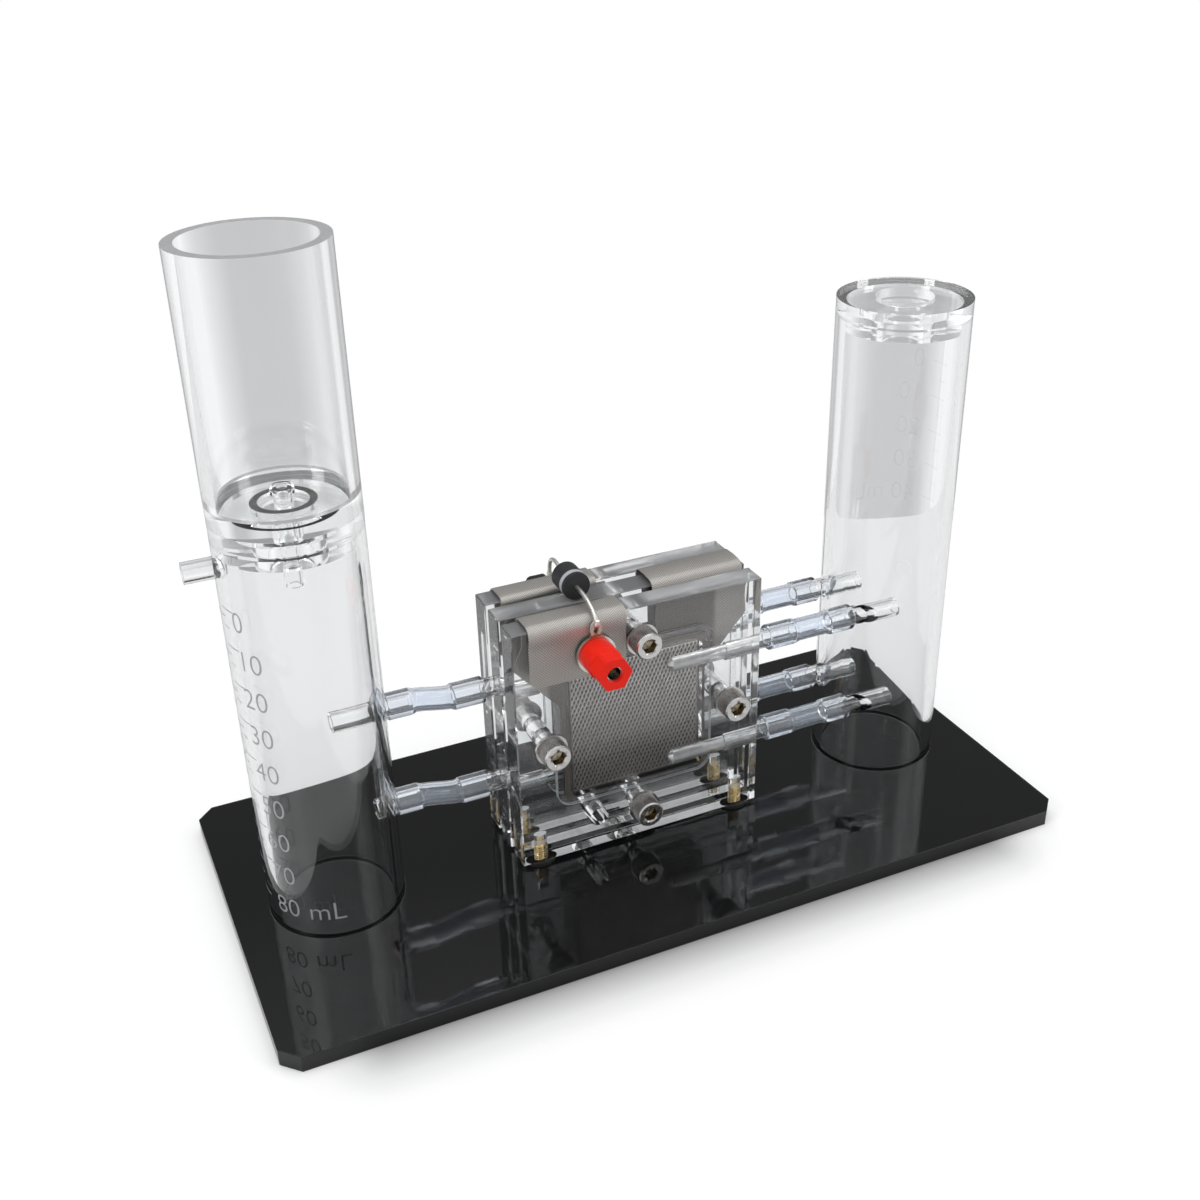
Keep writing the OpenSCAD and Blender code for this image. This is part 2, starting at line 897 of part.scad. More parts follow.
module diode_band() {
    front = diode_y - diode_l / 2;
    color([0.75, 0.75, 0.75])
        at_diode()
            difference() {
                bar_y(front + band_y, front + band_y + band_w, diode_d + 2 * band_out);
                bar_y(front + band_y - 1, front + band_y + band_w + 1, diode_d - 2 * band_in);
            }
}

// Lead from depth y0 forward, down to the front lug
module lead(y0) {
    at_diode() {
        bar_y(-lead_y + lead_r, y0, lead_d);
        translate([0, -lead_y + lead_r, -lead_r])
            rotate([0, -90, 0])
                rotate([0, 0, -90])
                    rotate_extrude(angle = 90)
                        translate([lead_r, 0])
                            circle(d = lead_d);
    }
    translate([-socket_x, -lead_y, socket_z + lug_up])
        cylinder(h = axis_z - lead_r - socket_z - lug_up, d = lead_d);
}

module diode_leads() {
    color([0.80, 0.80, 0.78]) {
        lead(diode_y - diode_l / 2);
        mirror([0, 1, 0])
            lead(-diode_y - diode_l / 2);
    }
}

// Upright tube on the given axis
module tube(x, z0, z1) {
    translate([x, 0, z0])
        difference() {
            cylinder(h = z1 - z0, r = tube_r);
            translate([0, 0, -1])
                cylinder(h = z1 - z0 + 2, r = tube_ir);
        }
}

// Cap whose spigot enters a cylinder with its rim at height z
module cap(x, z) {
    translate([x, 0, z])
        difference() {
            union() {
                cylinder(h = cap_t, r = tube_r);
                translate([0, 0, -spigot_h])
                    cylinder(h = spigot_h + eps, r = tube_ir - spigot_play);
            }
            cylinder(h = cap_t + 1, d = cap_bore);
            translate([0, 0, -spigot_h - 1])
                cylinder(h = spigot_h + 2, d = cap_hole);
        }
}

// Nozzle along X from x0 to x1 at depth y and height z
module nozzle(x0, x1, y, z) {
    translate([0, y, z])
        difference() {
            bar_x(x0, x1, nozzle_od);
            bar_x(x0 - 1, x1 + 1, nozzle_id);
        }
}

module h2_cylinder() {
    color([0.85, 0.90, 0.92, 0.30])
        difference() {
            tube(-tube_x, seat_z + air, h2_top);
            for (s = [-1, 1])
                translate([0, 0, mid_z + s * port_z + h2_rise])
                    bar_x(-tube_x, -tube_tip, nozzle_od + 2 * air);
            translate([0, 0, h2_top - spout_down])
                bar_x(-tube_x - tube_r - 1, -tube_x, spout_root + 2 * air);
        }
}

module h2_cap() {
    color([0.85, 0.90, 0.92, 0.35])
        cap(-tube_x, h2_top + air);
}

module h2_outlet_spout() {
    color([0.88, 0.92, 0.94, 0.45])
        translate([-tube_x - tube_r, 0, h2_top - spout_down])
            difference() {
                union() {
                    bar_x(-spout_out, 0, nozzle_od);
                    bar_x(-spout_out, tube_wall, spout_root);
                }
                bar_x(-spout_out - 1, tube_wall + 1, nozzle_id);
            }
}

module h2_cylinder_nozzles() {
    color([0.88, 0.92, 0.94, 0.45]) {
        nozzle(-wall_x - h2_upper_in, -tube_tip, 0, mid_z + port_z + h2_rise);
        nozzle(-wall_x - h2_lower_in, -tube_tip, 0, mid_z - port_z + h2_rise);
    }
}

module h2_stack_nozzles() {
    color([0.88, 0.92, 0.94, 0.45])
        for (s = [-1, 1])
            nozzle(-stack_tip, -half + nozzle_in, 0, mid_z + s * port_z);
}

// Turned ring along X from a profile of radius and place
module turned_x(profile) {
    rotate([0, 90, 0])
        rotate_extrude()
            polygon(profile);
}

// End of a hose: sleeve from x0 to x1, then down to the waist at x2
module hose_end(x0, x1, x2) {
    turned_x([
        [sleeve_r, x0], [hose_od / 2, x0], [hose_od / 2, x1],
        [waist_od / 2, x2], [waist_id / 2, x2], [sleeve_r, x1]
    ]);
}

// Half of the hose bend from the given place, turning about a middle above or below it by s
module hose_bend(x, z, s) {
    translate([x, 0, z])
        translate([0, 0, s * bend_r])
            rotate([90, 0, 0])
                rotate([0, 0, -90 * s])
                    rotate_extrude(angle = bend_a - bend_gap)
                        translate([bend_r, 0])
                            difference() {
                                circle(d = waist_od);
                                circle(d = waist_id);
                            }
}

// Low bead round the middle of a bent hose
module hose_bead() {
    r0 = waist_id / 2 - bead_stand;
    r1 = waist_od / 2 + bead_stand;
    translate([(stack_tip + tube_tip) / 2, 0, h2_rise / 2])
        rotate([0, -bend_a, 0])
            turned_x([[r0, -bead_w / 2], [r1, -bead_w / 2], [r1, bead_w / 2], [r0, bead_w / 2]]);
}

// Hydrogen hose that rises towards its cylinder, upper or lower by s
module h2_hose(s) {
    x0 = stack_tip + neck;
    x1 = tube_tip - neck;
    color([0.80, 0.85, 0.90, 0.45])
        translate([0, 0, mid_z + s * port_z])
            mirror([1, 0, 0]) {
                hose_end(stack_tip - grip_stack, stack_tip, x0);
                hose_bend(x0, 0, 1);
                hose_bead();
                hose_bend(x1, h2_rise, -1);
                translate([0, 0, h2_rise])
                    hose_end(tube_x - tube_r - hose_gap, tube_tip, x1);
            }
}

// Oxygen hose, front or rear by sy, upper or lower by sz
module o2_hose(sy, sz) {
    x0 = stack_tip + neck;
    x1 = tube_tip - neck;
    color([0.80, 0.85, 0.90, 0.45])
        translate([0, sy * end_y, mid_z + sz * port_z])
            turned_x([
                [sleeve_r, stack_tip - grip_stack], [hose_od / 2, stack_tip - grip_stack],
                [hose_od / 2, stack_tip], [waist_od / 2, x0], [waist_od / 2, x1], [hose_od / 2, tube_tip],
                [hose_od / 2, tube_tip + o2_grip], [sleeve_r, tube_tip + o2_grip],
                [sleeve_r, tube_tip], [waist_id / 2, x1], [waist_id / 2, x0], [sleeve_r, stack_tip]
            ]);
}

module h2_upper_hose() {
    h2_hose(1);
}

module h2_lower_hose() {
    h2_hose(-1);
}

module tank_wall() {
    color([0.85, 0.90, 0.92, 0.30])
        tube(-tube_x, tank_z, tank_z + tank_h);
}

module tank_floor() {
    color([0.85, 0.90, 0.92, 0.35])
        translate([-tube_x, 0, 0])
            difference() {
                union() {
                    translate([0, 0, floor_z])
                        cylinder(h = floor_t, r = tube_r);
                    translate([0, 0, plug_z])
                        cylinder(h = floor_z - plug_z + eps, d = plug_d);
                }
                translate([0, 0, ring_z - (ring_t + ring_slack) / 2])
                    difference() {
                        cylinder(h = ring_t + ring_slack, d = plug_d + 2);
                        translate([0, 0, -1])
                            cylinder(h = ring_t + ring_slack + 2, d = ring_od - 2 * ring_t - 2 * air);
                    }
                translate([0, 0, plug_z - 1])
                    cylinder(h = tank_z - plug_z + 2, d = riser_od + 2 * air);
            }
}

module tank_o_ring() {
    color([0.08, 0.08, 0.08])
        translate([-tube_x, 0, ring_z])
            rotate_extrude()
                translate([(ring_od - ring_t) / 2, 0])
                    circle(d = ring_t);
}

module riser_tube() {
    color([0.88, 0.92, 0.94, 0.45])
        translate([-tube_x, 0, 0])
            difference() {
                union() {
                    translate([0, 0, floor_z - riser_drop])
                        cylinder(h = riser_drop + floor_t + air + eps, d = riser_od);
                    translate([0, 0, tank_z])
                        cylinder(h = riser_head_h, d = riser_head_d);
                }
                translate([0, 0, floor_z - riser_drop - 1])
                    cylinder(h = riser_drop + floor_t + riser_head_h + 2, d = riser_id);
            }
}

module o2_cylinder() {
    color([0.85, 0.90, 0.92, 0.30])
        difference() {
            tube(tube_x, seat_z + air, o2_top);
            for (sy = [-1, 1], sz = [-1, 1])
                translate([0, sy * end_y, mid_z + sz * port_z])
                    bar_x(tube_tip, tube_x, nozzle_od + 2 * air);
        }
}

module o2_cap() {
    color([0.85, 0.90, 0.92, 0.35])
        cap(tube_x, o2_top + air);
}

module o2_cylinder_nozzles() {
    color([0.88, 0.92, 0.94, 0.45])
        for (sy = [-1, 1], sz = [-1, 1])
            nozzle(tube_tip, wall_x + o2_in, sy * end_y, mid_z + sz * port_z);
}

module o2_stack_nozzles() {
    color([0.88, 0.92, 0.94, 0.45])
        for (sy = [-1, 1], sz = [-1, 1])
            nozzle(half - nozzle_in, stack_tip, sy * end_y, mid_z + sz * port_z);
}

module o2_front_upper_hose() {
    o2_hose(-1, 1);
}

module o2_front_lower_hose() {
    o2_hose(-1, -1);
}

module o2_rear_upper_hose() {
    o2_hose(1, 1);
}

module o2_rear_lower_hose() {
    o2_hose(1, -1);
}

base_plate();
stack_screws();
foot_washers();
front_end_plate();
middle_plate();
rear_end_plate();
front_plate_flow_mesh();
middle_front_flow_mesh();
middle_rear_flow_mesh();
rear_plate_flow_mesh();
plus_collector();
bridge_collector();
minus_collector();
front_cell_gaskets();
rear_cell_gaskets();
front_cell_electrodes();
rear_cell_electrodes();
front_membrane();
rear_membrane();
clamp_bolts();
head_washers();
rear_washers();
clamp_nuts();
locating_dowel();
plus_socket_head();
plus_socket_bush();
plus_socket_washer();
plus_solder_lug();
minus_socket_head();
minus_socket_bush();
minus_socket_washer();
minus_solder_lug();
diode_body();
diode_band();
diode_leads();
h2_cylinder();
h2_cap();
h2_outlet_spout();
h2_cylinder_nozzles();
h2_stack_nozzles();
h2_upper_hose();
h2_lower_hose();
tank_wall();
tank_floor();
tank_o_ring();
riser_tube();
o2_cylinder();
o2_cap();
o2_cylinder_nozzles();
o2_stack_nozzles();
o2_front_upper_hose();
o2_front_lower_hose();
o2_rear_upper_hose();
o2_rear_lower_hose();
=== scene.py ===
# %% [markdown]
# # A classroom electrolyzer in clear acrylic
#
# The object splits water in a clamped stack of two cells. Two clear cylinders beside the stack catch the
# gases, soft hoses join them, and everything stands on a polished black plate. The solid parts come from
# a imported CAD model. This lesson gives each of them its finish, and it models what is too fine for the
# solids: the expanded metal, the folded cloth, the knurled and threaded fasteners, the smooth hoses, the
# solder work and the printed volume scales.

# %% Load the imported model
import math

import bmesh
import bpy
from mathutils import Matrix, Vector


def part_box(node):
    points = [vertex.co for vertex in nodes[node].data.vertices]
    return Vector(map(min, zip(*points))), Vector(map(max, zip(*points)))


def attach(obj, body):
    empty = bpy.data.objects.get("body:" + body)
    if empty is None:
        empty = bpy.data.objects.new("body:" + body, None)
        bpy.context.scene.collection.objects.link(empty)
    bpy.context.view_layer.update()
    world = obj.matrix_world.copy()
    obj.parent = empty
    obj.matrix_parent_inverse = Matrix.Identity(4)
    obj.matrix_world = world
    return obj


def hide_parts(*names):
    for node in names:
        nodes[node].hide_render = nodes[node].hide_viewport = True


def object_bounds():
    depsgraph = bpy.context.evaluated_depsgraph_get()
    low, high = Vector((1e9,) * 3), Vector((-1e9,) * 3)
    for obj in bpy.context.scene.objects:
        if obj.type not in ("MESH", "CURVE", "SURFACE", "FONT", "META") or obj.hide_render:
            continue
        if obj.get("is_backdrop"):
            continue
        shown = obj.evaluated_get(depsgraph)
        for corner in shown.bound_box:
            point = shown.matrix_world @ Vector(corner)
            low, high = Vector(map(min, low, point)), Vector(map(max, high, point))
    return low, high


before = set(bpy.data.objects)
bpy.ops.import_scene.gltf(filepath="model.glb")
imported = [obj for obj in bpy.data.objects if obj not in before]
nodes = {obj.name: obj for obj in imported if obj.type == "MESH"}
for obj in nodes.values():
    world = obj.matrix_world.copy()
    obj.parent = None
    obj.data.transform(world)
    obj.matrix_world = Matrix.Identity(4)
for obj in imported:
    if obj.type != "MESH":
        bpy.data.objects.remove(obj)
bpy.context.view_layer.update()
MM = 0.001

# %% [markdown]
# ## The camera
#
# The view was solved from known corners of the object in the photograph. A camera can be aimed with a
# constraint, but then it has no roll, and this view is turned by a degree and a half. So the three camera
# axes are written out and put in a matrix: `back` points from the object to the lens, `right` is level,
# and the roll turns the last two about it.

# %% Camera
camera_azimuth = -0.41217
camera_elevation = 0.48840
camera_roll = -0.02624
camera_place = Vector((-0.15476, -0.33949, 0.27961))


def add_object(name, data):
    """Puts a mesh, lamp or camera into the scene."""
    made = bpy.data.objects.new(name, data)
    bpy.context.scene.collection.objects.link(made)
    return made


back = Vector((math.sin(camera_azimuth) * math.cos(camera_elevation),
               -math.cos(camera_azimuth) * math.cos(camera_elevation),
               math.sin(camera_elevation)))
right = Vector((math.cos(camera_azimuth), math.sin(camera_azimuth), 0))
up = back.cross(right)
right_rolled = math.cos(camera_roll) * right + math.sin(camera_roll) * up
up_rolled = -math.sin(camera_roll) * right + math.cos(camera_roll) * up

camera_data = bpy.data.cameras.new("camera")
camera_data.sensor_width = 36.0
camera_data.lens = 42.795
camera_data.clip_start = 0.01
camera = add_object("camera", camera_data)
camera_axes = Matrix((right_rolled, up_rolled, back)).transposed()
camera.matrix_world = Matrix.Translation(camera_place) @ camera_axes.to_4x4()
bpy.context.scene.camera = camera
bpy.context.scene.view_settings.view_transform = "Standard"
print("camera at", tuple(round(v, 3) for v in camera_place), "lens", camera_data.lens)

# %% [markdown]
# ## Helpers for node materials
#
# Every finish is built from shader nodes. A few small helpers keep the cells short: one starts a material
# with a Principled shader, one adds a node, some do arithmetic on sockets, and one gives CAD nodes their
# material.

# %% Node helpers
def plug(tree, value, socket):
    """Joins a socket to a socket, or writes a plain value on it."""
    if isinstance(value, bpy.types.NodeSocket):
        tree.links.new(value, socket)
    else:
        socket.default_value = value


def add_node(tree, kind, **inputs):
    """One node of the given kind, with plain values or sockets on its named inputs."""
    node = tree.nodes.new(kind)
    for key, value in inputs.items():
        plug(tree, value, node.inputs[key.replace("_", " ")])
    return node


def new_material(name, **settings):
    """A material with one Principled shader, whose named sockets get plain values."""
    material = bpy.data.materials.new(name)
    material.use_nodes = True
    shader = material.node_tree.nodes["Principled BSDF"]
    for socket, value in settings.items():
        shader.inputs[socket.replace("_", " ")].default_value = value
    return material, material.node_tree, shader


def dress(material, *names):
    """Gives CAD nodes a material."""
    for name in names:
        slots = nodes[name].data.materials
        slots.clear()
        slots.append(material)
    print(material.name, "on", len(names), "CAD nodes")


print("node helpers ready")

# %% [markdown]
# A mask is arithmetic on where a point lies: how far it is from an axis, whether it is past a limit. In
# the editor that is a chain of Math nodes. Written out it gets long, so each step of the chain has a
# short name.

# %% Arithmetic on sockets
def calc(tree, operation, first, second=None):
    """A Math node on sockets or plain numbers."""
    node = tree.nodes.new("ShaderNodeMath")
    node.operation = operation
    plug(tree, first, node.inputs[0])
    if second is not None:
        plug(tree, second, node.inputs[1])
    return node.outputs[0]


def chain(tree, operation, values):
    """One Math operation after another over all the values."""
    total = values[0]
    for value in values[1:]:
        total = calc(tree, operation, total, value)
    return total


def times(tree, *values):
    """The product."""
    return chain(tree, "MULTIPLY", values)


def plus(tree, *values):
    """The sum."""
    return chain(tree, "ADD", values)


def minus(tree, first, second):
    """The difference."""
    return calc(tree, "SUBTRACT", first, second)


def highest(tree, *values):
    """The greatest."""
    return chain(tree, "MAXIMUM", values)


print("arithmetic ready")

# %% [markdown]
# From these come the words that masks are written in: how far a value lies away from a middle or beyond a
# span, the distance along two axes, and what is past a limit, between two limits or near an axis.

# %% Words for masks
def away(tree, value, middle=0.0):
    """How far a value lies from a middle, on either side."""
    return calc(tree, "ABSOLUTE", minus(tree, value, middle))


def beyond(tree, value, middle, half):
    """How far a value lies outside a span."""
    return highest(tree, minus(tree, away(tree, value, middle), half), 0.0)


def distance(tree, first, second):
    """Length of the way along two axes."""
    return calc(tree, "SQRT", plus(tree, times(tree, first, first), times(tree, second, second)))


def past(tree, value, limit):
    """1 where a value is over a limit, else 0."""
    return calc(tree, "GREATER_THAN", value, limit)


def between(tree, value, low, high):
    """1 where a value lies between two limits, else 0."""
    return minus(tree, past(tree, value, low), past(tree, value, high))


def spread(tree, value, from_low, from_high, to_low, to_high):
    """A Map Range from one span of values to another."""
    return add_node(tree, "ShaderNodeMapRange", Value=value, From_Min=from_low, From_Max=from_high,
                    To_Min=to_low, To_Max=to_high).outputs[0]


soft_rim = 0.2 * MM


def near(tree, reach, radius):
    """1 inside a radius, 0 outside, with a soft rim."""
    return spread(tree, reach, radius, radius + soft_rim, 1.0, 0.0)


print("mask words ready")

# %% [markdown]
# Three more helpers reach other nodes: one mixes colours, one asks what kind of ray looks at the surface,
# and one gives the Object coordinates, in which each piece has its place.

# %% Colours, rays and coordinates
def mix_colour(tree, factor, first, second):
    """A colour Mix node on sockets or plain colours."""
    mix = tree.nodes.new("ShaderNodeMix")
    mix.data_type = "RGBA"
    plug(tree, factor, mix.inputs[0])
    plug(tree, first, mix.inputs[6])
    plug(tree, second, mix.inputs[7])
    return mix.outputs[2]


def light_path(tree, *kinds):
    """1 for rays of the named kinds, 0 for the rest."""
    path = tree.nodes.new("ShaderNodeLightPath")
    return highest(tree, *[path.outputs[kind] for kind in kinds])


def object_axes(tree):
    """The x, y and z of the Object coordinates, in metres."""
    place = tree.nodes.new("ShaderNodeTexCoord").outputs["Object"]
    return add_node(tree, "ShaderNodeSeparateXYZ", Vector=place).outputs


print("colour, ray and place helpers ready")

# %% [markdown]
# ## Floor
#
# The ground is white with a soft shadow, and through the clear walls one sees that the table ends behind
# the object. So the floor is one grid with a far edge. It could be a plain object that is scaled and
# turned, but here every mesh is moved by its vertices, and three short helpers do that for all the pieces
# to come.

# %% Floor
floor_turn = -27.4
floor_far_edge = 0.2374
floor_half_width = 3.0
floor_half_depth = 1.6
floor_drop = 0.2 * MM


def shift(mesh, way, verts=None):
    """Moves some vertices or the whole mesh."""
    bmesh.ops.translate(mesh, vec=way, verts=verts or mesh.verts)


def stretch(mesh, factors, verts=None):
    """Scales some vertices or the whole mesh from the origin."""
    bmesh.ops.scale(mesh, vec=factors, verts=verts or mesh.verts)


def swing(mesh, degrees, axis, verts=None, centre=(0, 0, 0)):
    """Turns some vertices or the whole mesh about an axis."""
    rotation = Matrix.Rotation(math.radians(degrees), 3, axis)
    bmesh.ops.rotate(mesh, cent=centre, matrix=rotation, verts=verts or mesh.verts)


floor_mesh = bmesh.new()
bmesh.ops.create_grid(floor_mesh, x_segments=1, y_segments=1, size=1.0)
stretch(floor_mesh, (floor_half_width, floor_half_depth, 1.0))
shift(floor_mesh, (0, floor_far_edge - floor_half_depth, -floor_drop))
swing(floor_mesh, floor_turn, "Z")
floor_data = bpy.data.meshes.new("floor")
floor_mesh.to_mesh(floor_data)
floor_mesh.free()
floor = add_object("floor", floor_data)
floor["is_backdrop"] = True
print("floor", tuple(round(v, 2) for v in floor.dimensions))

# %% [markdown]
# A plain diffuse floor takes the shadow, and a weak emission that only looking rays see lifts it to white
# without lighting the object. The base plate is thin and the light is soft, so its contact shadow would
# be lost in the white. A painted shadow deepens it along the front edge: a ramp by the distance from a
# rectangle inside the plate's outline darkens the paper's colour and its lift. Far from the plate the
# lamps hardly reach, and the lift grows there, so that the floor is white from every side.

# %% Floor paper
paper_white = (0.80, 0.80, 0.80, 1)
shadow_width = 29 * MM
shadow_half_side = 97 * MM
shadow_middle_depth = -20 * MM
shadow_half_depth = 40 * MM
shadow_steps = ((0.0, 0.40), (0.12, 0.50), (0.25, 0.64), (0.40, 0.80), (0.65, 0.95))
near_lift = 0.28
glass_lift = 0.08

floor_paper, tree, shader = new_material("floor_paper", Roughness=0.9, Specular_IOR_Level=0.0)
axes = object_axes(tree)
from_plate = distance(tree, beyond(tree, axes[0], 0.0, shadow_half_side),
                      beyond(tree, axes[1], shadow_middle_depth, shadow_half_depth))
# Painted shadow: the ramp darkens the paper's colour and its lift near the plate's front edge.
shade = tree.nodes.new("ShaderNodeValToRGB")
ramp = shade.color_ramp.elements
for position, level in shadow_steps:
    step = ramp.new(position) if position else ramp[0]
    step.color = (level, level, level, 1)
plug(tree, spread(tree, from_plate, 0.0, shadow_width, 0.0, 1.0), shade.inputs[0])
plug(tree, mix_colour(tree, shade.outputs[0], (0, 0, 0, 1), paper_white), shader.inputs["Base Color"])
grown_lift = spread(tree, from_plate, 0.2, 0.7, near_lift, 1.0)
seen_lift = times(tree, light_path(tree, "Is Camera Ray"), grown_lift)
other_lift = times(tree, light_path(tree, "Is Glossy Ray", "Is Transmission Ray"), glass_lift)
plug(tree, shade.outputs[0], shader.inputs["Emission Color"])
plug(tree, highest(tree, seen_lift, other_lift), shader.inputs["Emission Strength"])
floor_data.materials.append(floor_paper)
print("floor shade over", round(shadow_width / MM), "mm")

# %% [markdown]
# ## The room
#
# The world is the room round the table. A picture of a room is the usual way, but no picture is loaded
# here, so it is drawn with ramps. Camera rays see plain white. Rays that leave a clear piece see two grey
# cards behind the object, with a bright gap between them, and a bright room on the other sides, so a
# clear wall is grey in its middle and light at its edges. Mirror rays see a dark room behind and a
# lighter one in front, with a bright ceiling, which is what keeps the black plate black. Diffuse light
# comes evenly from all sides.

# %% World
behind_x = 0.40
behind_y = 0.916


def sky_ramp(tree, height, stops):
    """Grey levels by the height of the direction looked in, from -1 to 1."""
    ramp = tree.nodes.new("ShaderNodeValToRGB")
    while len(ramp.color_ramp.elements) < len(stops):
        ramp.color_ramp.elements.new(0.5)
    for element, (position, level) in zip(ramp.color_ramp.elements, stops):
        element.position = position / 2 + 0.5
        element.color = (level, level, level * 1.01, 1)
    plug(tree, plus(tree, times(tree, height, 0.5), 0.5), ramp.inputs[0])
    return ramp.outputs[0]


world = bpy.data.worlds.new("studio")
bpy.context.scene.world = world
world.use_nodes = True
tree = world.node_tree
tree.nodes.clear()
direction = tree.nodes.new("ShaderNodeTexCoord").outputs["Generated"]
axes = add_node(tree, "ShaderNodeSeparateXYZ", Vector=direction).outputs
height = axes[2]
backwards = plus(tree, times(tree, axes[0], behind_x), times(tree, axes[1], behind_y))
sideways = minus(tree, times(tree, axes[0], behind_y), times(tree, axes[1], behind_x))
print("directions ready, behind is", behind_x, behind_y)

# %% [markdown]
# The cards and walls are ramps over the height, mixed by how far a ray looks backwards or sideways.

# %% Cards, walls and ceiling
grey_card = sky_ramp(tree, height, ((-1.0, 0.56), (-0.05, 0.56), (0.10, 0.56), (0.40, 0.34), (0.70, 0.38),
                                    (0.9, 0.95)))
off_gap = away(tree, calc(tree, "DIVIDE", sideways, highest(tree, backwards, 0.1)))
gap_light = highest(tree, spread(tree, off_gap, 0.03, 0.16, 0.55, 0.0),
                    spread(tree, off_gap, 0.29, 0.44, 0.0, 1.0))
below_top = spread(tree, height, 0.10, 0.30, 1.0, 0.0)
card = mix_colour(tree, times(tree, gap_light, below_top), grey_card, (0.95, 0.95, 0.955, 1))
left_wall = sky_ramp(tree, height, ((-1.0, 0.98), (0.0, 1.0), (0.5, 1.0), (1.0, 1.0)))
right_wall = sky_ramp(tree, height, ((-1.0, 0.80), (0.0, 0.84), (0.5, 0.95), (1.0, 1.0)))
walls = mix_colour(tree, spread(tree, axes[0], -0.3, 0.5, 0.0, 1.0), left_wall, right_wall)
through = mix_colour(tree, spread(tree, backwards, 0.60, 0.78, 0.0, 1.0), walls, card)
dark_side = sky_ramp(tree, height, ((-1.0, 0.50), (0.0, 0.50), (0.30, 0.22), (0.62, 0.22), (0.85, 0.85)))
light_side = sky_ramp(tree, height, ((-1.0, 0.50), (0.0, 0.58), (0.30, 0.52), (0.62, 0.60), (0.85, 0.85)))
mirrored = mix_colour(tree, spread(tree, backwards, -0.3, 0.2, 0.0, 1.0), light_side, dark_side)
colour = mix_colour(tree, light_path(tree, "Is Transmission Ray"), mirrored, through)
not_diffuse = light_path(tree, "Is Glossy Ray", "Is Transmission Ray")
colour = mix_colour(tree, not_diffuse, (0.50, 0.50, 0.505, 1), colour)
colour = mix_colour(tree, light_path(tree, "Is Camera Ray"), colour, (1, 1, 1, 1))
background = add_node(tree, "ShaderNodeBackground", Color=colour)
add_node(tree, "ShaderNodeOutputWorld", Surface=background.outputs[0])
print("world of", len(tree.nodes), "nodes")

# %% [markdown]
# ## Lamps
#
# Three soft boxes light the object: a wide one overhead for even light, and two tall ones at the sides
# that draw the long bright lines on the cylinders. Area lamps are used, because a point or sun lamp would
# give hard shadows.

# %% Lamps
def soft_box(name, place, aim, width, height, power):
    """A rectangular lamp that looks at a point."""
    lamp = bpy.data.lights.new(name, "AREA")
    lamp.shape = "RECTANGLE"
    lamp.size = width
    lamp.size_y = height
    lamp.energy = power
    box = add_object(name, lamp)
    box.location = place
    box.rotation_mode = "QUATERNION"
    box.rotation_quaternion = (Vector(aim) - Vector(place)).to_track_quat("-Z", "Y")
    return box


lit_middle = (0, 0, 0.08)
lamps = [
    soft_box("overhead_box", (0.05, 0.10, 1.10), lit_middle, 1.1, 0.9, 4.9),
    soft_box("left_box", (-0.95, -0.25, 0.55), lit_middle, 0.35, 0.9, 2.6),
    soft_box("right_box", (0.80, -0.75, 0.60), lit_middle, 0.45, 0.8, 2.3),
]
print("lamps:", [lamp.name for lamp in lamps])

# %% [markdown]
# ## Surface groups
#
# Three effects come back in many finishes, so each is a node group that is built once: fine grain, which
# varies the roughness and gives a small bump height, soft blotches that vary a colour, and the weave of
# metal cloth. The nodes could be copied into each material, but a group keeps them the same everywhere. A
# group only puts out values, and the shader stays in the material.

# %% Grain and blotch groups
def new_group(name, inputs, outputs):
    """A shader node group with float sockets; inputs come with their usual values."""
    group = bpy.data.node_groups.new(name, "ShaderNodeTree")
    for label, value in inputs:
        socket = group.interface.new_socket(label, in_out="INPUT", socket_type="NodeSocketFloat")
        socket.default_value = value
    for label in outputs:
        group.interface.new_socket(label, in_out="OUTPUT", socket_type="NodeSocketFloat")
    return group, group.nodes.new("NodeGroupInput").outputs, group.nodes.new("NodeGroupOutput").inputs


def noise_value(tree, **inputs):
    """A noise over the Object coordinates."""
    place = tree.nodes.new("ShaderNodeTexCoord").outputs["Object"]
    return add_node(tree, "ShaderNodeTexNoise", Vector=place, **inputs).outputs["Fac"]


grain, taken, given = new_group("fine_grain", (("Scale", 600.0), ("Low", 0.2), ("High", 0.4)),
                                ("Roughness", "Height"))
noise = noise_value(grain, Scale=taken["Scale"], Detail=4.0)
plug(grain, spread(grain, noise, 0.32, 0.68, taken["Low"], taken["High"]), given["Roughness"])
plug(grain, noise, given["Height"])

blotch, taken, given = new_group("soft_blotches", (("Scale", 60.0), ("Sharpness", 0.2)), ("Mask",))
noise = noise_value(blotch, Scale=taken["Scale"], Detail=5.0, Roughness=0.6)
low_edge = minus(blotch, 0.5, taken["Sharpness"])
high_edge = plus(blotch, 0.5, taken["Sharpness"])
plug(blotch, spread(blotch, noise, low_edge, high_edge, 0.0, 1.0), given["Mask"])
print("groups:", grain.name, blotch.name)

# %% [markdown]
# Metal cloth is a plain weave: each wire goes over one and under the next. The height of a wire is a
# half-round wave across it, and a slower wave along it lifts it over its neighbours. The higher of the
# two wire sets shows, and where both are low there is a hole. The cloth is folded over the plates, so the
# second coordinate is y plus z, which runs on round the fold. Real wires would cost millions of faces.

# %% Weave group
weave, taken, given = new_group("plain_weave", (("Across", 0.0), ("Along", 0.0), ("Pitch", 0.0005)),
                                ("Height", "Hole"))


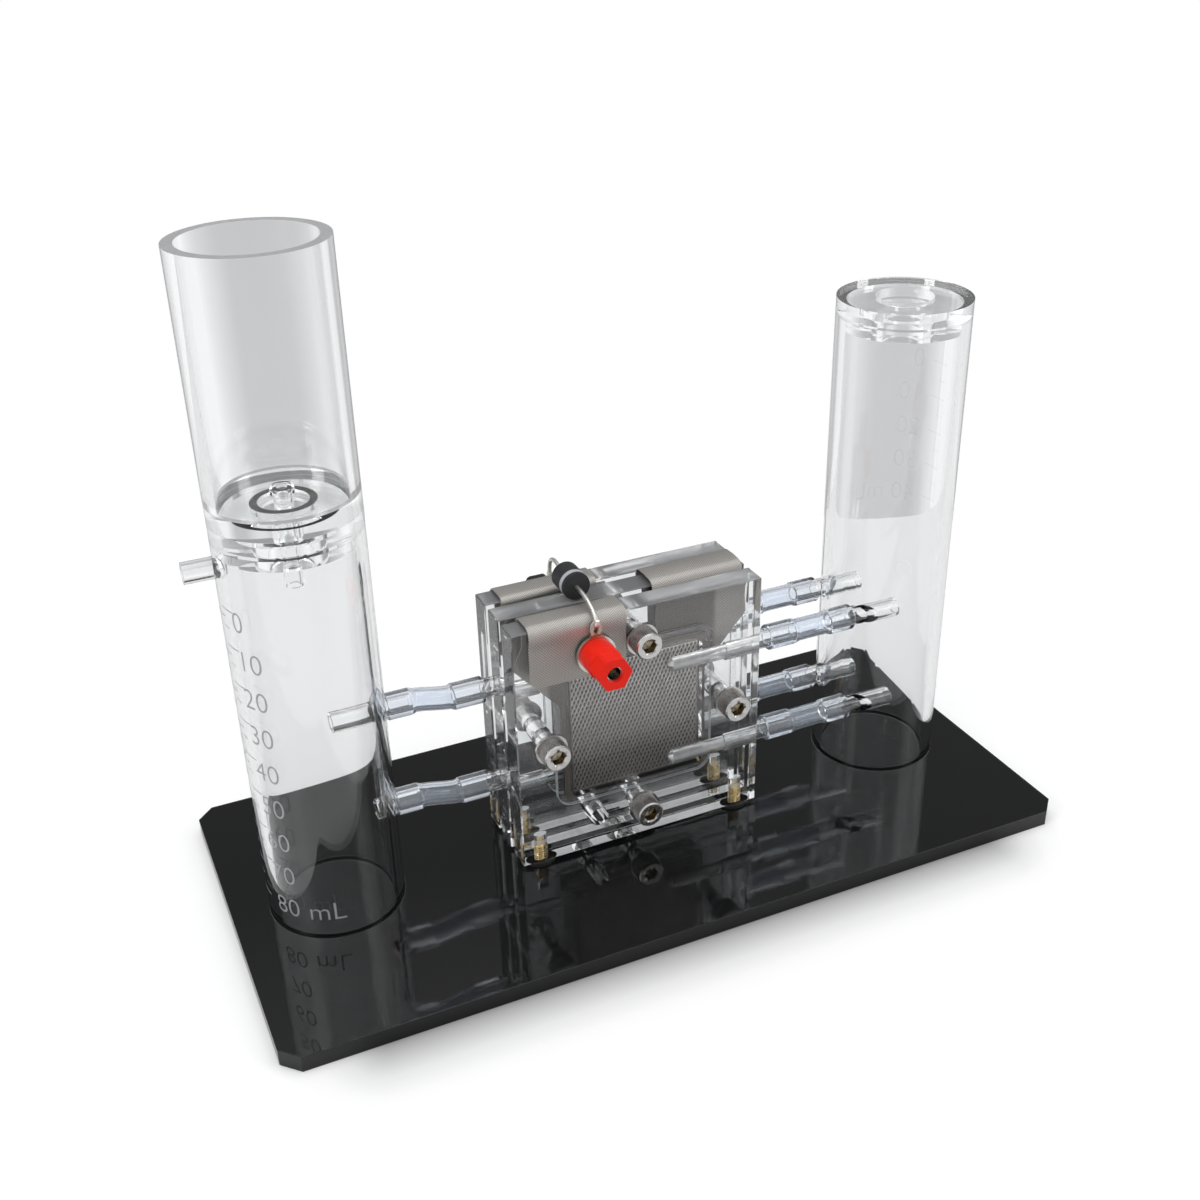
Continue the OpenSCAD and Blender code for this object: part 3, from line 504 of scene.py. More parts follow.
def wire_height(tree, over, along, pitch):
    """Height of a set of wires that lie side by side in one direction and wave in the other."""
    turns = calc(tree, "DIVIDE", over, pitch)
    row = calc(tree, "FLOOR", turns)
    beside = minus(tree, calc(tree, "FRACT", turns), 0.5)
    round_top = calc(tree, "SQRT", highest(tree, minus(tree, 0.14, times(tree, beside, beside)), 0.0))
    phase = plus(tree, calc(tree, "DIVIDE", along, pitch), row)
    wave = calc(tree, "COSINE", times(tree, phase, math.pi))
    lifted = plus(tree, round_top, times(tree, wave, 0.25))
    return times(tree, plus(tree, lifted, 0.3), past(tree, round_top, 0.001))


half_pitch = times(weave, taken["Pitch"], 0.5)
warp = wire_height(weave, taken["Across"], taken["Along"], taken["Pitch"])
along_between = minus(weave, taken["Along"], half_pitch)
across_between = plus(weave, taken["Across"], half_pitch)
weft = wire_height(weave, along_between, across_between, taken["Pitch"])
top_wire = highest(weave, warp, weft)
plug(weave, top_wire, given["Height"])
plug(weave, calc(weave, "LESS_THAN", top_wire, 0.02), given["Hole"])
print("group:", weave.name)

# %% [markdown]
# The groups are placed in a material with that material's own values. Nearly every finish has a roughness
# from the grain, and many a colour that drifts between two tones, so these two uses have helpers of their
# own.

# %% Using the groups
def use_group(tree, group, **inputs):
    """Places a node group in a material with its own values."""
    node = tree.nodes.new("ShaderNodeGroup")
    node.node_tree = group
    for key, value in inputs.items():
        plug(tree, value, node.inputs[key])
    return node.outputs


def grained(tree, shader, scale, low, high):
    """Feeds a grain into the shader's roughness, and gives its height."""
    marks = use_group(tree, grain, Scale=scale, Low=low, High=high)
    plug(tree, marks["Roughness"], shader.inputs["Roughness"])
    return marks["Height"]


def two_tone(tree, shader, scale, sharpness, light, dark):
    """Feeds a colour that drifts between two tones into the shader."""
    stain = use_group(tree, blotch, Scale=scale, Sharpness=sharpness)
    colour = mix_colour(tree, stain["Mask"], light, dark)
    plug(tree, colour, shader.inputs["Base Color"])
    return colour


def bump(tree, shader, height, depth, strength):
    """Feeds a height into the shader's normal."""
    node = add_node(tree, "ShaderNodeBump", Height=height, Distance=depth, Strength=strength)
    plug(tree, node.outputs[0], shader.inputs["Normal"])


print("group helpers ready")

# %% [markdown]
# ## Light through clear walls
#
# A true glass shader blocks lamps, so what is inside would go dark. A Light Path node lets shadow and
# diffuse rays go straight through a faintly tinted Transparent shader, while the eye still gets
# refraction. A look through a hose, a nozzle and two plates crosses more than a dozen faces, and a ray
# that is cut short turns black. So the rays may turn more often than they do by default.

# %% Clear shaders
most_turns = 32
light_paths = bpy.context.scene.cycles
light_paths.max_bounces = most_turns
light_paths.transmission_bounces = most_turns
light_paths.transparent_max_bounces = most_turns


def mix_shaders(tree, mask, first, second):
    """One shader where the mask is 0 and the other where it is 1."""
    mixed = tree.nodes.new("ShaderNodeMixShader")
    plug(tree, mask, mixed.inputs[0])
    plug(tree, first.outputs[0], mixed.inputs[1])
    plug(tree, second.outputs[0], mixed.inputs[2])
    return mixed


def let_light_through(tree, shader, tint):
    """Shadow and diffuse rays pass the clear shader; the other rays refract."""
    clear = add_node(tree, "ShaderNodeBsdfTransparent", Color=tint)
    choose = mix_shaders(tree, light_path(tree, "Is Shadow Ray", "Is Diffuse Ray"), shader, clear)
    plug(tree, choose.outputs[0], tree.nodes["Material Output"].inputs["Surface"])


print("rays turn up to", light_paths.max_bounces, "times")

# %% [markdown]
# Clear faces change where they are worked or touched. A scraped or sanded face scatters light, so a rough
# and half clear shader is mixed in. Where black rubber or the black base is pressed on a clear face it
# wets it, and the face shows black from inside. Where two clear pieces are joined, light goes straight on
# from one into the other. The solids keep a thin gap there, so both faces of the gap are made to vanish.

# %% Worked and touched faces
acrylic_index = 1.49


def frosted_where(tree, shader, mask, low, high):
    """Mixes a rough, half clear shader into the clear one by a mask."""
    scatter = add_node(tree, "ShaderNodeBsdfPrincipled", Base_Color=(0.95, 0.96, 0.97, 1),
                       IOR=acrylic_index, Transmission_Weight=0.4)
    grained(tree, scatter, 900.0, low, high)
    return mix_shaders(tree, mask, shader, scatter)


def wetted_where(tree, shader, mask):
    """Mixes in the black of what is pressed on the clear face."""
    rubber = add_node(tree, "ShaderNodeBsdfPrincipled", Base_Color=(0.010, 0.010, 0.010, 1),
                      Roughness=0.45, Specular_IOR_Level=0.0)
    return mix_shaders(tree, mask, shader, rubber)


def joined_where(tree, shader, mask):
    """Makes a clear face vanish where another clear piece is joined to it."""
    gone = add_node(tree, "ShaderNodeBsdfTransparent", Color=(1, 1, 1, 1))
    return mix_shaders(tree, mask, shader, gone)


print("face helpers ready")

# %% [markdown]
# The nozzles sit in hoses and cylinders on both sides of the stack. All these seats are round faces of
# one radius about axes that mirror each other, so the coordinates are folded with Absolute, and one
# distance finds every seat. Along the axis three stretches count: the sleeve on the stack's nozzle, the
# sleeve on the cylinder's nozzle, and the wall of the cylinder.

# %% Nozzle joints
tube_side = 94.0 * MM
stack_middle = 46.04 * MM
port_height = 16.5 * MM
port_depth = 10.5 * MM
h2_lift = 2.0 * MM
sleeve_start = 44.5 * MM
stack_tip = 53.5 * MM
tube_tip = 66.5 * MM
h2_sleeve_end = 73.5 * MM
o2_sleeve_end = 74.5 * MM
half_way = 60.0 * MM
seat_inside = 2.94 * MM
seat_outside = 3.09 * MM
tube_bore = 17.0 * MM
tube_radius = 20.0 * MM


def nozzle_joints(tree, axes):
    """1 on the faces where a nozzle sits in its hoses or its cylinder."""
    on_right = past(tree, axes[0], 0.0)
    side = away(tree, axes[0])
    raised = highest(tree, minus(tree, past(tree, side, half_way), on_right), 0.0)
    middle = plus(tree, times(tree, raised, h2_lift), stack_middle)
    across = minus(tree, away(tree, axes[1]), times(tree, on_right, port_depth))
    reach = distance(tree, across, minus(tree, away(tree, axes[2], middle), port_height))
    skin = between(tree, reach, seat_inside, seat_outside)
    from_tube = distance(tree, minus(tree, side, tube_side), axes[1])
    sleeve_end = plus(tree, times(tree, on_right, o2_sleeve_end - h2_sleeve_end), h2_sleeve_end)
    sleeves = plus(tree, between(tree, side, sleeve_start, stack_tip),
                   between(tree, side, tube_tip, sleeve_end))
    in_wall = between(tree, from_tube, tube_bore, tube_radius)
    return times(tree, skin, highest(tree, sleeves, in_wall))


print("nozzles", round(port_height / MM, 1), "mm above and below", round(stack_middle / MM, 2))

# %% [markdown]
# ## Clear acrylic
#
# Cylinders, caps and nozzles are polished acrylic: full transmission, an index of 1.49 and next to no
# roughness, which the grain group varies for handling marks. The rim of the open tank is only sanded:
# without that the wall would pipe the black of the base up to it. A mask on the height finds the rim, and
# another finds the feet of the cylinders, which stand in the black base.

# %% Clear acrylic
acrylic_tint = (0.985, 0.992, 0.994, 1)
acrylic_shadow = (0.95, 0.96, 0.965, 1)
handled = (140.0, 0.0, 0.03)
rim_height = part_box("tank_wall")[1].z
base_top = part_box("base_plate")[1].z


def polished_acrylic(name):
    """A clear material with its axes, not yet joined to its output."""
    material, tree, shader = new_material(name, Base_Color=acrylic_tint, IOR=acrylic_index,
                                          Transmission_Weight=1.0)
    return material, tree, shader, object_axes(tree)


clear_acrylic, tree, shader, axes = polished_acrylic("clear_acrylic")
grained(tree, shader, *handled)
rim = spread(tree, axes[2], rim_height - 0.1 * MM, rim_height - 0.02 * MM, 0.0, 0.6)
foot = spread(tree, axes[2], base_top - 0.03 * MM, base_top, 1.0, 0.0)
wetted = wetted_where(tree, frosted_where(tree, shader, rim, 0.3, 0.5), foot)
let_light_through(tree, joined_where(tree, wetted, nozzle_joints(tree, axes)), acrylic_shadow)
dress(clear_acrylic, "h2_cylinder", "h2_cap", "h2_outlet_spout", "h2_cylinder_nozzles", "h2_stack_nozzles",
      "o2_cylinder", "o2_cap", "o2_cylinder_nozzles", "o2_stack_nozzles", "tank_wall", "riser_tube",
      "locating_dowel")

# %% [markdown]
# The floor of the tank is the same acrylic. Its seal is pressed on the underside in a ring, which shows
# black from above.

# %% Tank floor
floor_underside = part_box("h2_cap")[1].z + 0.04 * MM
seal_bore = 6.5 * MM
seal_radius = 8.6 * MM

floor_acrylic, tree, shader, axes = polished_acrylic("floor_acrylic")
grained(tree, shader, *handled)
from_axis = distance(tree, minus(tree, axes[0], -tube_side), axes[1])
on_underside = near(tree, away(tree, axes[2], floor_underside), 0.02 * MM)
outside_bore = spread(tree, from_axis, seal_bore, seal_bore + soft_rim, 0.0, 1.0)
seal_ring = times(tree, on_underside, outside_bore, near(tree, from_axis, seal_radius))
let_light_through(tree, wetted_where(tree, shader, seal_ring), acrylic_shadow)
dress(floor_acrylic, "tank_floor")

# %% [markdown]
# ## Drilled plates
#
# The stack plates are the same acrylic, but drilling leaves a frosted wall. The frost could be painted on
# the faces, but the solids must stay as they are. So masks find the drilled holes by the distance to
# their axes. The holes repeat in mirror image, so the coordinates are folded with Absolute first, and a
# few distances serve them all. The gas channels end half way and pass close by the pockets, so they also
# have an end and a depth.

# %% Frost in the channels
bolt_circle = 29.6 * MM
screw_side = 33.5 * MM
channel_end = 9.3 * MM
channel_reach = 2.6 * MM
channel_side = 41.0 * MM
end_pocket = 8.53 * MM
middle_pocket = 1.97 * MM
seat_end = 28.9 * MM
seat_reach = 3.1 * MM
seat_frost = 0.16

drilled_acrylic, tree, shader, axes = polished_acrylic("drilled_acrylic")
side = away(tree, axes[0])
depth = away(tree, axes[1])
above = minus(tree, axes[2], stack_middle)
rise = away(tree, above)
from_port = minus(tree, rise, port_height)
from_end_port = distance(tree, minus(tree, depth, port_depth), from_port)
from_middle_port = distance(tree, depth, from_port)
end_channel = times(tree, near(tree, from_end_port, channel_reach), past(tree, axes[0], channel_end),
                    past(tree, depth, end_pocket))
middle_channel = times(tree, near(tree, from_middle_port, channel_reach),
                       between(tree, axes[0], -channel_side, -channel_end),
                       past(tree, middle_pocket, depth))
uneven = use_group(tree, blotch, Scale=260.0, Sharpness=0.3)
channel_frost = spread(tree, uneven["Mask"], 0.0, 1.0, 0.20, 0.46)
channel = times(tree, highest(tree, end_channel, middle_channel), channel_frost)
end_seat = times(tree, near(tree, from_end_port, seat_reach), past(tree, axes[0], seat_end))
middle_seat = times(tree, near(tree, from_middle_port, seat_reach), past(tree, -seat_end, axes[0]))
channel = highest(tree, channel, times(tree, highest(tree, end_seat, middle_seat), seat_frost))
print("channels end", round(channel_end / MM, 1), "mm from the middle")

# %% [markdown]
# Bolts and screws have holes of their own. Screws fill the lower part of theirs, which stays clear, and
# above the screw's end a short drilled cone is left. The sawn edges are matt, and the black foot washers
# wet the underside.

# %% Bolt holes, edges and foot
plate_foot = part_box("front_end_plate")[0].z
screw_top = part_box("stack_screws")[1].z
plate_edge = 39.5 * MM
bolt_reach = 3.1 * MM
screw_reach = 2.3 * MM
washer_reach = 4.9 * MM
drill_tip = 1.6 * MM
hole_left = 3.6 * MM
bolt_frost = 0.10
screw_hole_frost = 0.10
drill_tip_frost = 0.5
edge_frost = 0.26

bolt = calc(tree, "MINIMUM", distance(tree, minus(tree, side, bolt_circle), rise),
            distance(tree, side, minus(tree, rise, bolt_circle)))
screw = distance(tree, minus(tree, side, screw_side), minus(tree, depth, port_depth))
in_hole = past(tree, screw_top + hole_left, axes[2])
in_tip = between(tree, axes[2], screw_top, screw_top + drill_tip)
screw_frost = plus(tree, times(tree, in_hole, screw_hole_frost), times(tree, in_tip, drill_tip_frost))
edge = highest(tree, spread(tree, side, plate_edge, plate_edge + soft_rim, 0.0, 0.3),
               spread(tree, above, plate_edge, plate_edge + soft_rim, 0.0, 1.0))
marks = use_group(tree, grain, Scale=170.0, Low=0.0, High=0.03)
sawn = use_group(tree, grain, Scale=2600.0, Low=0.12, High=0.20)
rough = plus(tree, marks["Roughness"], times(tree, edge, sawn["Roughness"]))
plug(tree, rough, shader.inputs["Roughness"])
frost = highest(tree, channel, times(tree, near(tree, bolt, bolt_reach), bolt_frost),
                times(tree, near(tree, screw, screw_reach), screw_frost), times(tree, edge, edge_frost))
washer_print = times(tree, near(tree, screw, washer_reach),
                     spread(tree, axes[2], plate_foot + 0.02 * MM, plate_foot + 0.06 * MM, 1.0, 0.0))
wetted = wetted_where(tree, frosted_where(tree, shader, frost, 0.35, 0.60), washer_print)
let_light_through(tree, joined_where(tree, wetted, nozzle_joints(tree, axes)), acrylic_shadow)
dress(drilled_acrylic, "front_end_plate", "middle_plate", "rear_end_plate")

# %% [markdown]
# ## Soft hoses
#
# The hoses are plasticised tubing: clear, a little blue, and softer in the highlight than acrylic.

# %% Soft hose
soft_hose, tree, shader = new_material("soft_hose", Base_Color=(0.90, 0.94, 1.0, 1), IOR=1.43,
                                       Transmission_Weight=0.94)
grained(tree, shader, 220.0, 0.01, 0.05)
joined = joined_where(tree, shader, nozzle_joints(tree, object_axes(tree)))
let_light_through(tree, joined, (0.92, 0.945, 0.97, 1))
dress(soft_hose, "h2_upper_hose", "h2_lower_hose", "o2_front_upper_hose", "o2_front_lower_hose",
      "o2_rear_upper_hose", "o2_rear_lower_hose")

# %% [markdown]
# ## Black base plate
#
# The base is cast black acrylic, polished like a piano lid. Its sawn edge catches the light in a thin
# line, and a Bevel node rounds the normals there without touching the solid. The grain group dulls the
# gloss a little, unevenly.

# %% Black acrylic
black_acrylic, tree, shader = new_material("black_acrylic", Base_Color=(0.0055, 0.0058, 0.006, 1),
                                           IOR=acrylic_index)
grained(tree, shader, 60.0, 0.03, 0.075)
rounded = add_node(tree, "ShaderNodeBevel", Radius=0.5 * MM)
plug(tree, rounded.outputs[0], shader.inputs["Normal"])
dress(black_acrylic, "base_plate")

# %% [markdown]
# ## Metals
#
# The clamp bolts, washers and nuts are satin stainless steel, the sockets are nickel plated, the lugs and
# leads are tinned, and the screws that hold the stack on the base are brass. One function makes them all:
# a metal whose colour drifts between two tones, and whose roughness and bump come from the grain group.

# %% Metals
metal_bump = 0.00001


def metal(name, light, dark, grain_scale, low, high, share=1.0):
    """A procedural metal between two tones; with a smaller share it is dull, as under oxide."""
    material, tree, shader = new_material(name, Metallic=share)
    two_tone(tree, shader, grain_scale * 0.25, 0.25, light, dark)
    bump(tree, shader, grained(tree, shader, grain_scale, low, high), metal_bump, 0.4)
    return material


satin_steel = metal("satin_steel", (0.64, 0.625, 0.61, 1), (0.57, 0.555, 0.54, 1), 1500.0, 0.18, 0.28)
dress(satin_steel, "head_washers", "rear_washers", "clamp_nuts", "clamp_bolts")
nickel = metal("nickel_plate", (0.70, 0.675, 0.62, 1), (0.58, 0.55, 0.50, 1), 700.0, 0.10, 0.24)
dress(nickel, "plus_socket_bush", "minus_socket_bush", "plus_socket_washer", "minus_socket_washer")
tinned = metal("tinned_metal", (0.78, 0.77, 0.73, 1), (0.62, 0.605, 0.57, 1), 800.0, 0.26, 0.46)
dress(tinned, "diode_leads")
dull_tin = metal("dull_tin", (0.62, 0.605, 0.575, 1), (0.46, 0.445, 0.42, 1), 800.0, 0.40, 0.60, share=0.4)
dress(dull_tin, "plus_solder_lug", "minus_solder_lug")
brass = metal("turned_brass", (0.80, 0.60, 0.28, 1), (0.60, 0.43, 0.18, 1), 900.0, 0.18, 0.40)
dress(brass, "stack_screws")

# %% [markdown]
# The flow meshes are of stretched steel sheet. A third, darker tone is mixed in by the height, so they
# are darker towards the bottom.

# %% Stretched steel
stretched_steel, tree, shader = new_material("stretched_steel", Metallic=1.0)
steel_tones = two_tone(tree, shader, 275.0, 0.25, (0.82, 0.79, 0.77, 1), (0.64, 0.61, 0.59, 1))
# Darker towards the bottom, by the height.
darker_below = spread(tree, object_axes(tree)[2], stack_middle - 20 * MM, stack_middle + 8 * MM, 0.6, 0.0)
plug(tree, mix_colour(tree, darker_below, steel_tones, (0.20, 0.19, 0.185, 1)), shader.inputs["Base Color"])
bump(tree, shader, grained(tree, shader, 1100.0, 0.26, 0.45), metal_bump, 0.4)
flow_meshes = ("front_plate_flow_mesh", "middle_front_flow_mesh", "middle_rear_flow_mesh",
               "rear_plate_flow_mesh")
dress(stretched_steel, *flow_meshes)

# %% [markdown]
# ## Metal cloth
#
# The current collectors are fine woven metal cloth, folded over the plates. The weave group gives the
# bump, a painted shade on the wires that lie below, and small holes through which the light behind shows.
# Between the plates the cloth lies in a dark slot, so a mask on the depth and the height paints shade on
# it there. Outside the seals, which end 26 mm from the middle, the painted shade is weaker and the cloth
# paler.

# %% Metal cloth
wire_pitch = 0.44 * MM
wire_bump = 0.16 * MM

metal_cloth, tree, shader = new_material("metal_cloth", Metallic=1.0)
axes = object_axes(tree)
cloth_weave = use_group(tree, weave, Across=axes[0], Along=plus(tree, axes[1], axes[2]), Pitch=wire_pitch)
stain = use_group(tree, blotch, Scale=110.0, Sharpness=0.3)
lit_wire = spread(tree, cloth_weave["Height"], 0.15, 0.85, 0.0, 1.0)
# Painted shade: the wires that lie below get the dark tone.
wire_tone_with_painted_shade = mix_colour(tree, lit_wire, (0.10, 0.095, 0.09, 1), (0.66, 0.635, 0.60, 1))
aged = mix_colour(tree, times(tree, stain["Mask"], 0.25), wire_tone_with_painted_shade, (0.40, 0.37, 0.34, 1))
# Painted shade: the cloth between the plates is darkened, more inside the seals.
in_slot = times(tree, spread(tree, away(tree, axes[1]), 6.6 * MM, 7.2 * MM, 1.0, 0.0),
                spread(tree, axes[2], 83.0 * MM, 86.0 * MM, 1.0, 0.0))
slot_shade_strength = spread(tree, away(tree, axes[0]), 27.0 * MM, 28.5 * MM, 0.8, 0.3)
cloth_with_painted_shade = mix_colour(tree, times(tree, in_slot, slot_shade_strength), aged, (0.10, 0.088, 0.080, 1))
plug(tree, cloth_with_painted_shade, shader.inputs["Base Color"])
grained(tree, shader, 1400.0, 0.34, 0.52)
bump(tree, shader, cloth_weave["Height"], wire_bump, 0.9)
plug(tree, spread(tree, cloth_weave["Hole"], 0.0, 1.0, 1.0, 0.5), shader.inputs["Alpha"])
dress(metal_cloth, "plus_collector", "bridge_collector", "minus_collector")

# %% [markdown]
# ## Plastics, rubber and film
#
# The socket heads are moulded with a satin skin, the diode is pressed from dull black resin with a silver
# band, and the seals are rubber. They differ in colour, in the scale of the grain and in how rough it is,
# so one function makes them all. The red skin mirrors less than the rest, which keeps its colour deep.

# %% Plastics and rubber
def moulded(name, light, dark, grain_scale, low, high, bump_height, mirror=0.5):
    """A procedural plastic or rubber between two tones."""
    material, tree, shader = new_material(name, Specular_IOR_Level=mirror)
    two_tone(tree, shader, grain_scale * 0.15, 0.3, light, dark)
    bump(tree, shader, grained(tree, shader, grain_scale, low, high), bump_height, 0.5)
    return material


red_plastic = moulded("red_plastic", (0.94, 0.017, 0.004, 1), (0.86, 0.012, 0.003, 1), 900.0, 0.28, 0.42,
                      0.00002, mirror=0.2)
dress(red_plastic, "plus_socket_head")
black_plastic = moulded("black_plastic", (0.014, 0.014, 0.015, 1), (0.009, 0.009, 0.010, 1), 900.0, 0.28,
                        0.42, 0.00002)
dress(black_plastic, "minus_socket_head")
diode_resin = moulded("diode_resin", (0.018, 0.019, 0.022, 1), (0.011, 0.011, 0.013, 1), 1500.0, 0.42,
                      0.62, 0.00005)
dress(diode_resin, "diode_body")
silver_print = moulded("silver_print", (0.52, 0.53, 0.55, 1), (0.40, 0.41, 0.43, 1), 1500.0, 0.30, 0.50,
                       0.00002)
dress(silver_print, "diode_band")
seal_rubber = moulded("seal_rubber", (0.016, 0.016, 0.016, 1), (0.010, 0.010, 0.010, 1), 1200.0, 0.45,
                      0.65, 0.00003)
dress(seal_rubber, "tank_o_ring", "foot_washers")
electrode_black = moulded("electrode_black", (0.022, 0.020, 0.019, 1), (0.010, 0.009, 0.009, 1), 2500.0,
                          0.6, 0.9, 0.0001)
dress(electrode_black, "front_cell_electrodes", "rear_cell_electrodes")
membrane_film = moulded("membrane_film", (0.60, 0.55, 0.42, 1), (0.50, 0.45, 0.33, 1), 300.0, 0.3, 0.5,
                        0.00002)
dress(membrane_film, "front_membrane", "rear_membrane")

# %% [markdown]
# The cell gaskets are silicone, which is clear like the plates but softer to look at. Their punched edge
# is matt and shows as a fine pale line low down: a mask finds it by the distance from the middles of the
# rounded corners, and fades with the height.

# %% Gaskets
corner_middle = 21.0 * MM
corner_radius = 4.9 * MM

clear_silicone, tree, shader = new_material("clear_silicone", Base_Color=(0.96, 0.965, 0.97, 1), IOR=1.41,
                                            Transmission_Weight=1.0)
grained(tree, shader, 700.0, 0.0, 0.05)
axes = object_axes(tree)
from_corner = distance(tree, beyond(tree, axes[0], 0.0, corner_middle),
                       beyond(tree, axes[2], stack_middle, corner_middle))
cut_edge = times(tree, past(tree, from_corner, corner_radius),
                 spread(tree, axes[2], stack_middle - 10.0 * MM, stack_middle + 8.0 * MM, 0.7, 0.05))
let_light_through(tree, frosted_where(tree, shader, cut_edge, 0.4, 0.6), (0.90, 0.91, 0.915, 1))
dress(clear_silicone, "front_cell_gaskets", "rear_cell_gaskets")

# %% [markdown]
# ## Making pieces
#
# Each finer piece is a bmesh that ends as one object at the origin, with its place in the mesh.
# `finish_piece` merges doubles, turns the faces outward, smooths them up to an angle, gives the material,
# and ties the piece to the CAD body it rides on. A piece of several equal parts is gathered with
# `add_to`.

# %% Piece helpers
def finish_piece(name, mesh, material, replaced=(), body="frame", smooth_angle=40.0, merge=1e-6,
                 more=()):
    """Turns a bmesh into a piece; `more` are materials for faces with index 1, 2 and so on."""
    if merge:
        bmesh.ops.remove_doubles(mesh, verts=mesh.verts, dist=merge)
    bmesh.ops.recalc_face_normals(mesh, faces=mesh.faces)
    for face in mesh.faces:
        face.smooth = smooth_angle > 0
    for edge in mesh.edges:
        edge.smooth = len(edge.link_faces) == 2 and edge.calc_face_angle(0.0) < math.radians(smooth_angle)
    data = bpy.data.meshes.new(name)
    mesh.to_mesh(data)
    mesh.free()
    for finish in (material, *more):
        data.materials.append(finish)
    piece = add_object(name, data)
    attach(piece, body)
    if replaced:
        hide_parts(*replaced)
    print(name, len(data.polygons), "faces")
    return piece


def add_to(target, part):
    """Adds one bmesh to another and lets it go."""
    data = bpy.data.meshes.new("part")
    part.to_mesh(data)
    part.free()
    target.from_mesh(data)
    bpy.data.meshes.remove(data)


print("piece helpers ready")

# %% [markdown]
# ## Expanded metal
#
# The flow fields are expanded metal: sheet that is slit and pulled open, so it has slim upright diamonds
# with slightly twisted strands. A grid turned by 45 degrees is already a net of diamonds. It is stretched
# to the pitch of the real sheet and cut square, each face is inset, the inner faces are deleted, and
# Solidify gives the strands their thickness. Drawing each strand by itself would cost far more faces.
# Pulling the sheet open tilts every bond where strands meet, so the top of each opening is drawn forward
# and its foot back, and the bonds catch the light. At the cut the inset of a small corner can turn over,
# so faces that look backwards are dropped too.

# %% Expanded metal
mesh_pitch_across = 1.31 * MM
mesh_pitch_up = 2.9 * MM
mesh_width = 42.0 * MM
net_cells = 52
strand_half = 0.10 * MM
sheet_thickness = 0.40 * MM
bond_tilt = 0.15 * MM
pocket_gap = 0.25 * MM


def expanded_sheet(front):
    """A square of expanded metal whose near face stands at the depth `front`."""
    net = bmesh.new()
    bmesh.ops.create_grid(net, x_segments=net_cells, y_segments=net_cells, size=net_cells / 2)
    swing(net, 45, "Z")
    diagonal = math.sqrt(2)
    stretch(net, (mesh_pitch_across / diagonal, mesh_pitch_up / diagonal, 1))
    for normal in ((1, 0, 0), (-1, 0, 0), (0, 1, 0), (0, -1, 0)):
        plane = Vector(normal) * mesh_width / 2
        everything = net.verts[:] + net.edges[:] + net.faces[:]
        bmesh.ops.bisect_plane(net, geom=everything, plane_co=plane, plane_no=normal, clear_outer=True)
    smallest = 0.12 * mesh_pitch_across * mesh_pitch_up
    whole = [face for face in net.faces if face.calc_area() > smallest]
    bmesh.ops.inset_individual(net, faces=whole, thickness=strand_half, use_even_offset=True)
    for face in whole:
        corners = sorted(face.verts, key=lambda vert: vert.co.y)
        corners[0].co.z -= bond_tilt
        corners[-1].co.z += bond_tilt
    net.normal_update()
    slivers = [face for face in net.faces if face.normal.z < 0]
    bmesh.ops.delete(net, geom=whole + slivers, context="FACES")
    bmesh.ops.solidify(net, geom=net.faces[:], thickness=sheet_thickness)
    swing(net, 90, "X")
    shift(net, (0, front, stack_middle))
    return net


for name in flow_meshes:
    low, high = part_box(name)
    faces_front = name in ("front_plate_flow_mesh", "middle_rear_flow_mesh")
    front = high.y - sheet_thickness - pocket_gap if faces_front else low.y + pocket_gap
    finish_piece(name.replace("flow_mesh", "expanded_metal"), expanded_sheet(front), stretched_steel,
                 (name,), smooth_angle=0.0, merge=0)

# %% [markdown]
# ## Clamp bolts
#
# Four socket screws clamp the stack. Their heads have a straight knurl, a bright chamfer and a hexagon
# socket. A head could be a cylinder with a socket cut by a Boolean, which leaves stray triangles. Here it
# starts as one round face that is extruded from station to station, out over the knurl, in over the
# chamfer and down into the socket. At each station its corners move to a new distance from the axis:
# every second one is pulled in for the ridges, and the six flats of the socket are a distance that
# depends on the angle. The knurl gets a darker copy of the steel, as painted shade on the side of the
# head, and the inside of the socket a darker, brown steel, as painted shade in the recess.

# %% Bolt heads
rim_count = 96
head_edge = 0.3 * MM
knurl_depth = 0.14 * MM
chamfer = 0.45 * MM
socket_edge = 0.25 * MM
socket_cone = 0.6 * MM
socket_tip = 0.3 * MM


def round_at(radius):
    """The same distance from the axis all round."""
    return lambda angle: radius


def knurled(radius, inner):
    """Every second corner on the inner radius."""
    return lambda angle: radius if round(angle * rim_count / math.tau) % 2 else inner


def hexagonal(across_flats):
    """The distance from the axis to the six flats."""
    return lambda angle: across_flats / 2 / math.cos(angle % math.radians(60) - math.radians(30))


def socket_screw(mesh, head_radius, head_height, key, key_depth):
    """A knurled head on its back at z = 0, with its socket facing up."""
    ridge = head_radius - knurl_depth
    stations = [
        (knurled(head_radius, ridge), head_edge),
        (knurled(head_radius, ridge), head_height - chamfer),
        (round_at(head_radius - chamfer), head_height),
        (round_at(key * 0.64), head_height),
        (hexagonal(key), head_height - socket_edge),
        (hexagonal(key), head_height - key_depth),
        (round_at(socket_tip), head_height - key_depth - socket_cone),
    ]
    made = bmesh.ops.create_circle(mesh, cap_ends=True, segments=rim_count, radius=head_radius - head_edge)
    face = made["verts"][0].link_faces[0]
    for shape, height in stations:
        face = bmesh.ops.extrude_discrete_faces(mesh, faces=[face])["faces"][0]
        for vert in face.verts:
            angle = math.atan2(vert.co.y, vert.co.x)
            vert.co = (shape(angle) * math.cos(angle), shape(angle) * math.sin(angle), height)
    bmesh.ops.holes_fill(mesh, edges=[edge for edge in mesh.edges if edge.is_boundary], sides=0)
    for face in mesh.faces:
        middle = face.calc_center_median()
        reach = math.hypot(middle.x, middle.y)
        in_socket = reach < key * 0.6 and 0.5 * MM < middle.z < head_height - 0.2 * MM
        on_knurl = reach > ridge - 0.05 * MM and middle.z < head_height - chamfer
        face.material_index = 1 if in_socket else 2 if on_knurl else 0


print("bolt heads with", rim_count // 2, "ridges")

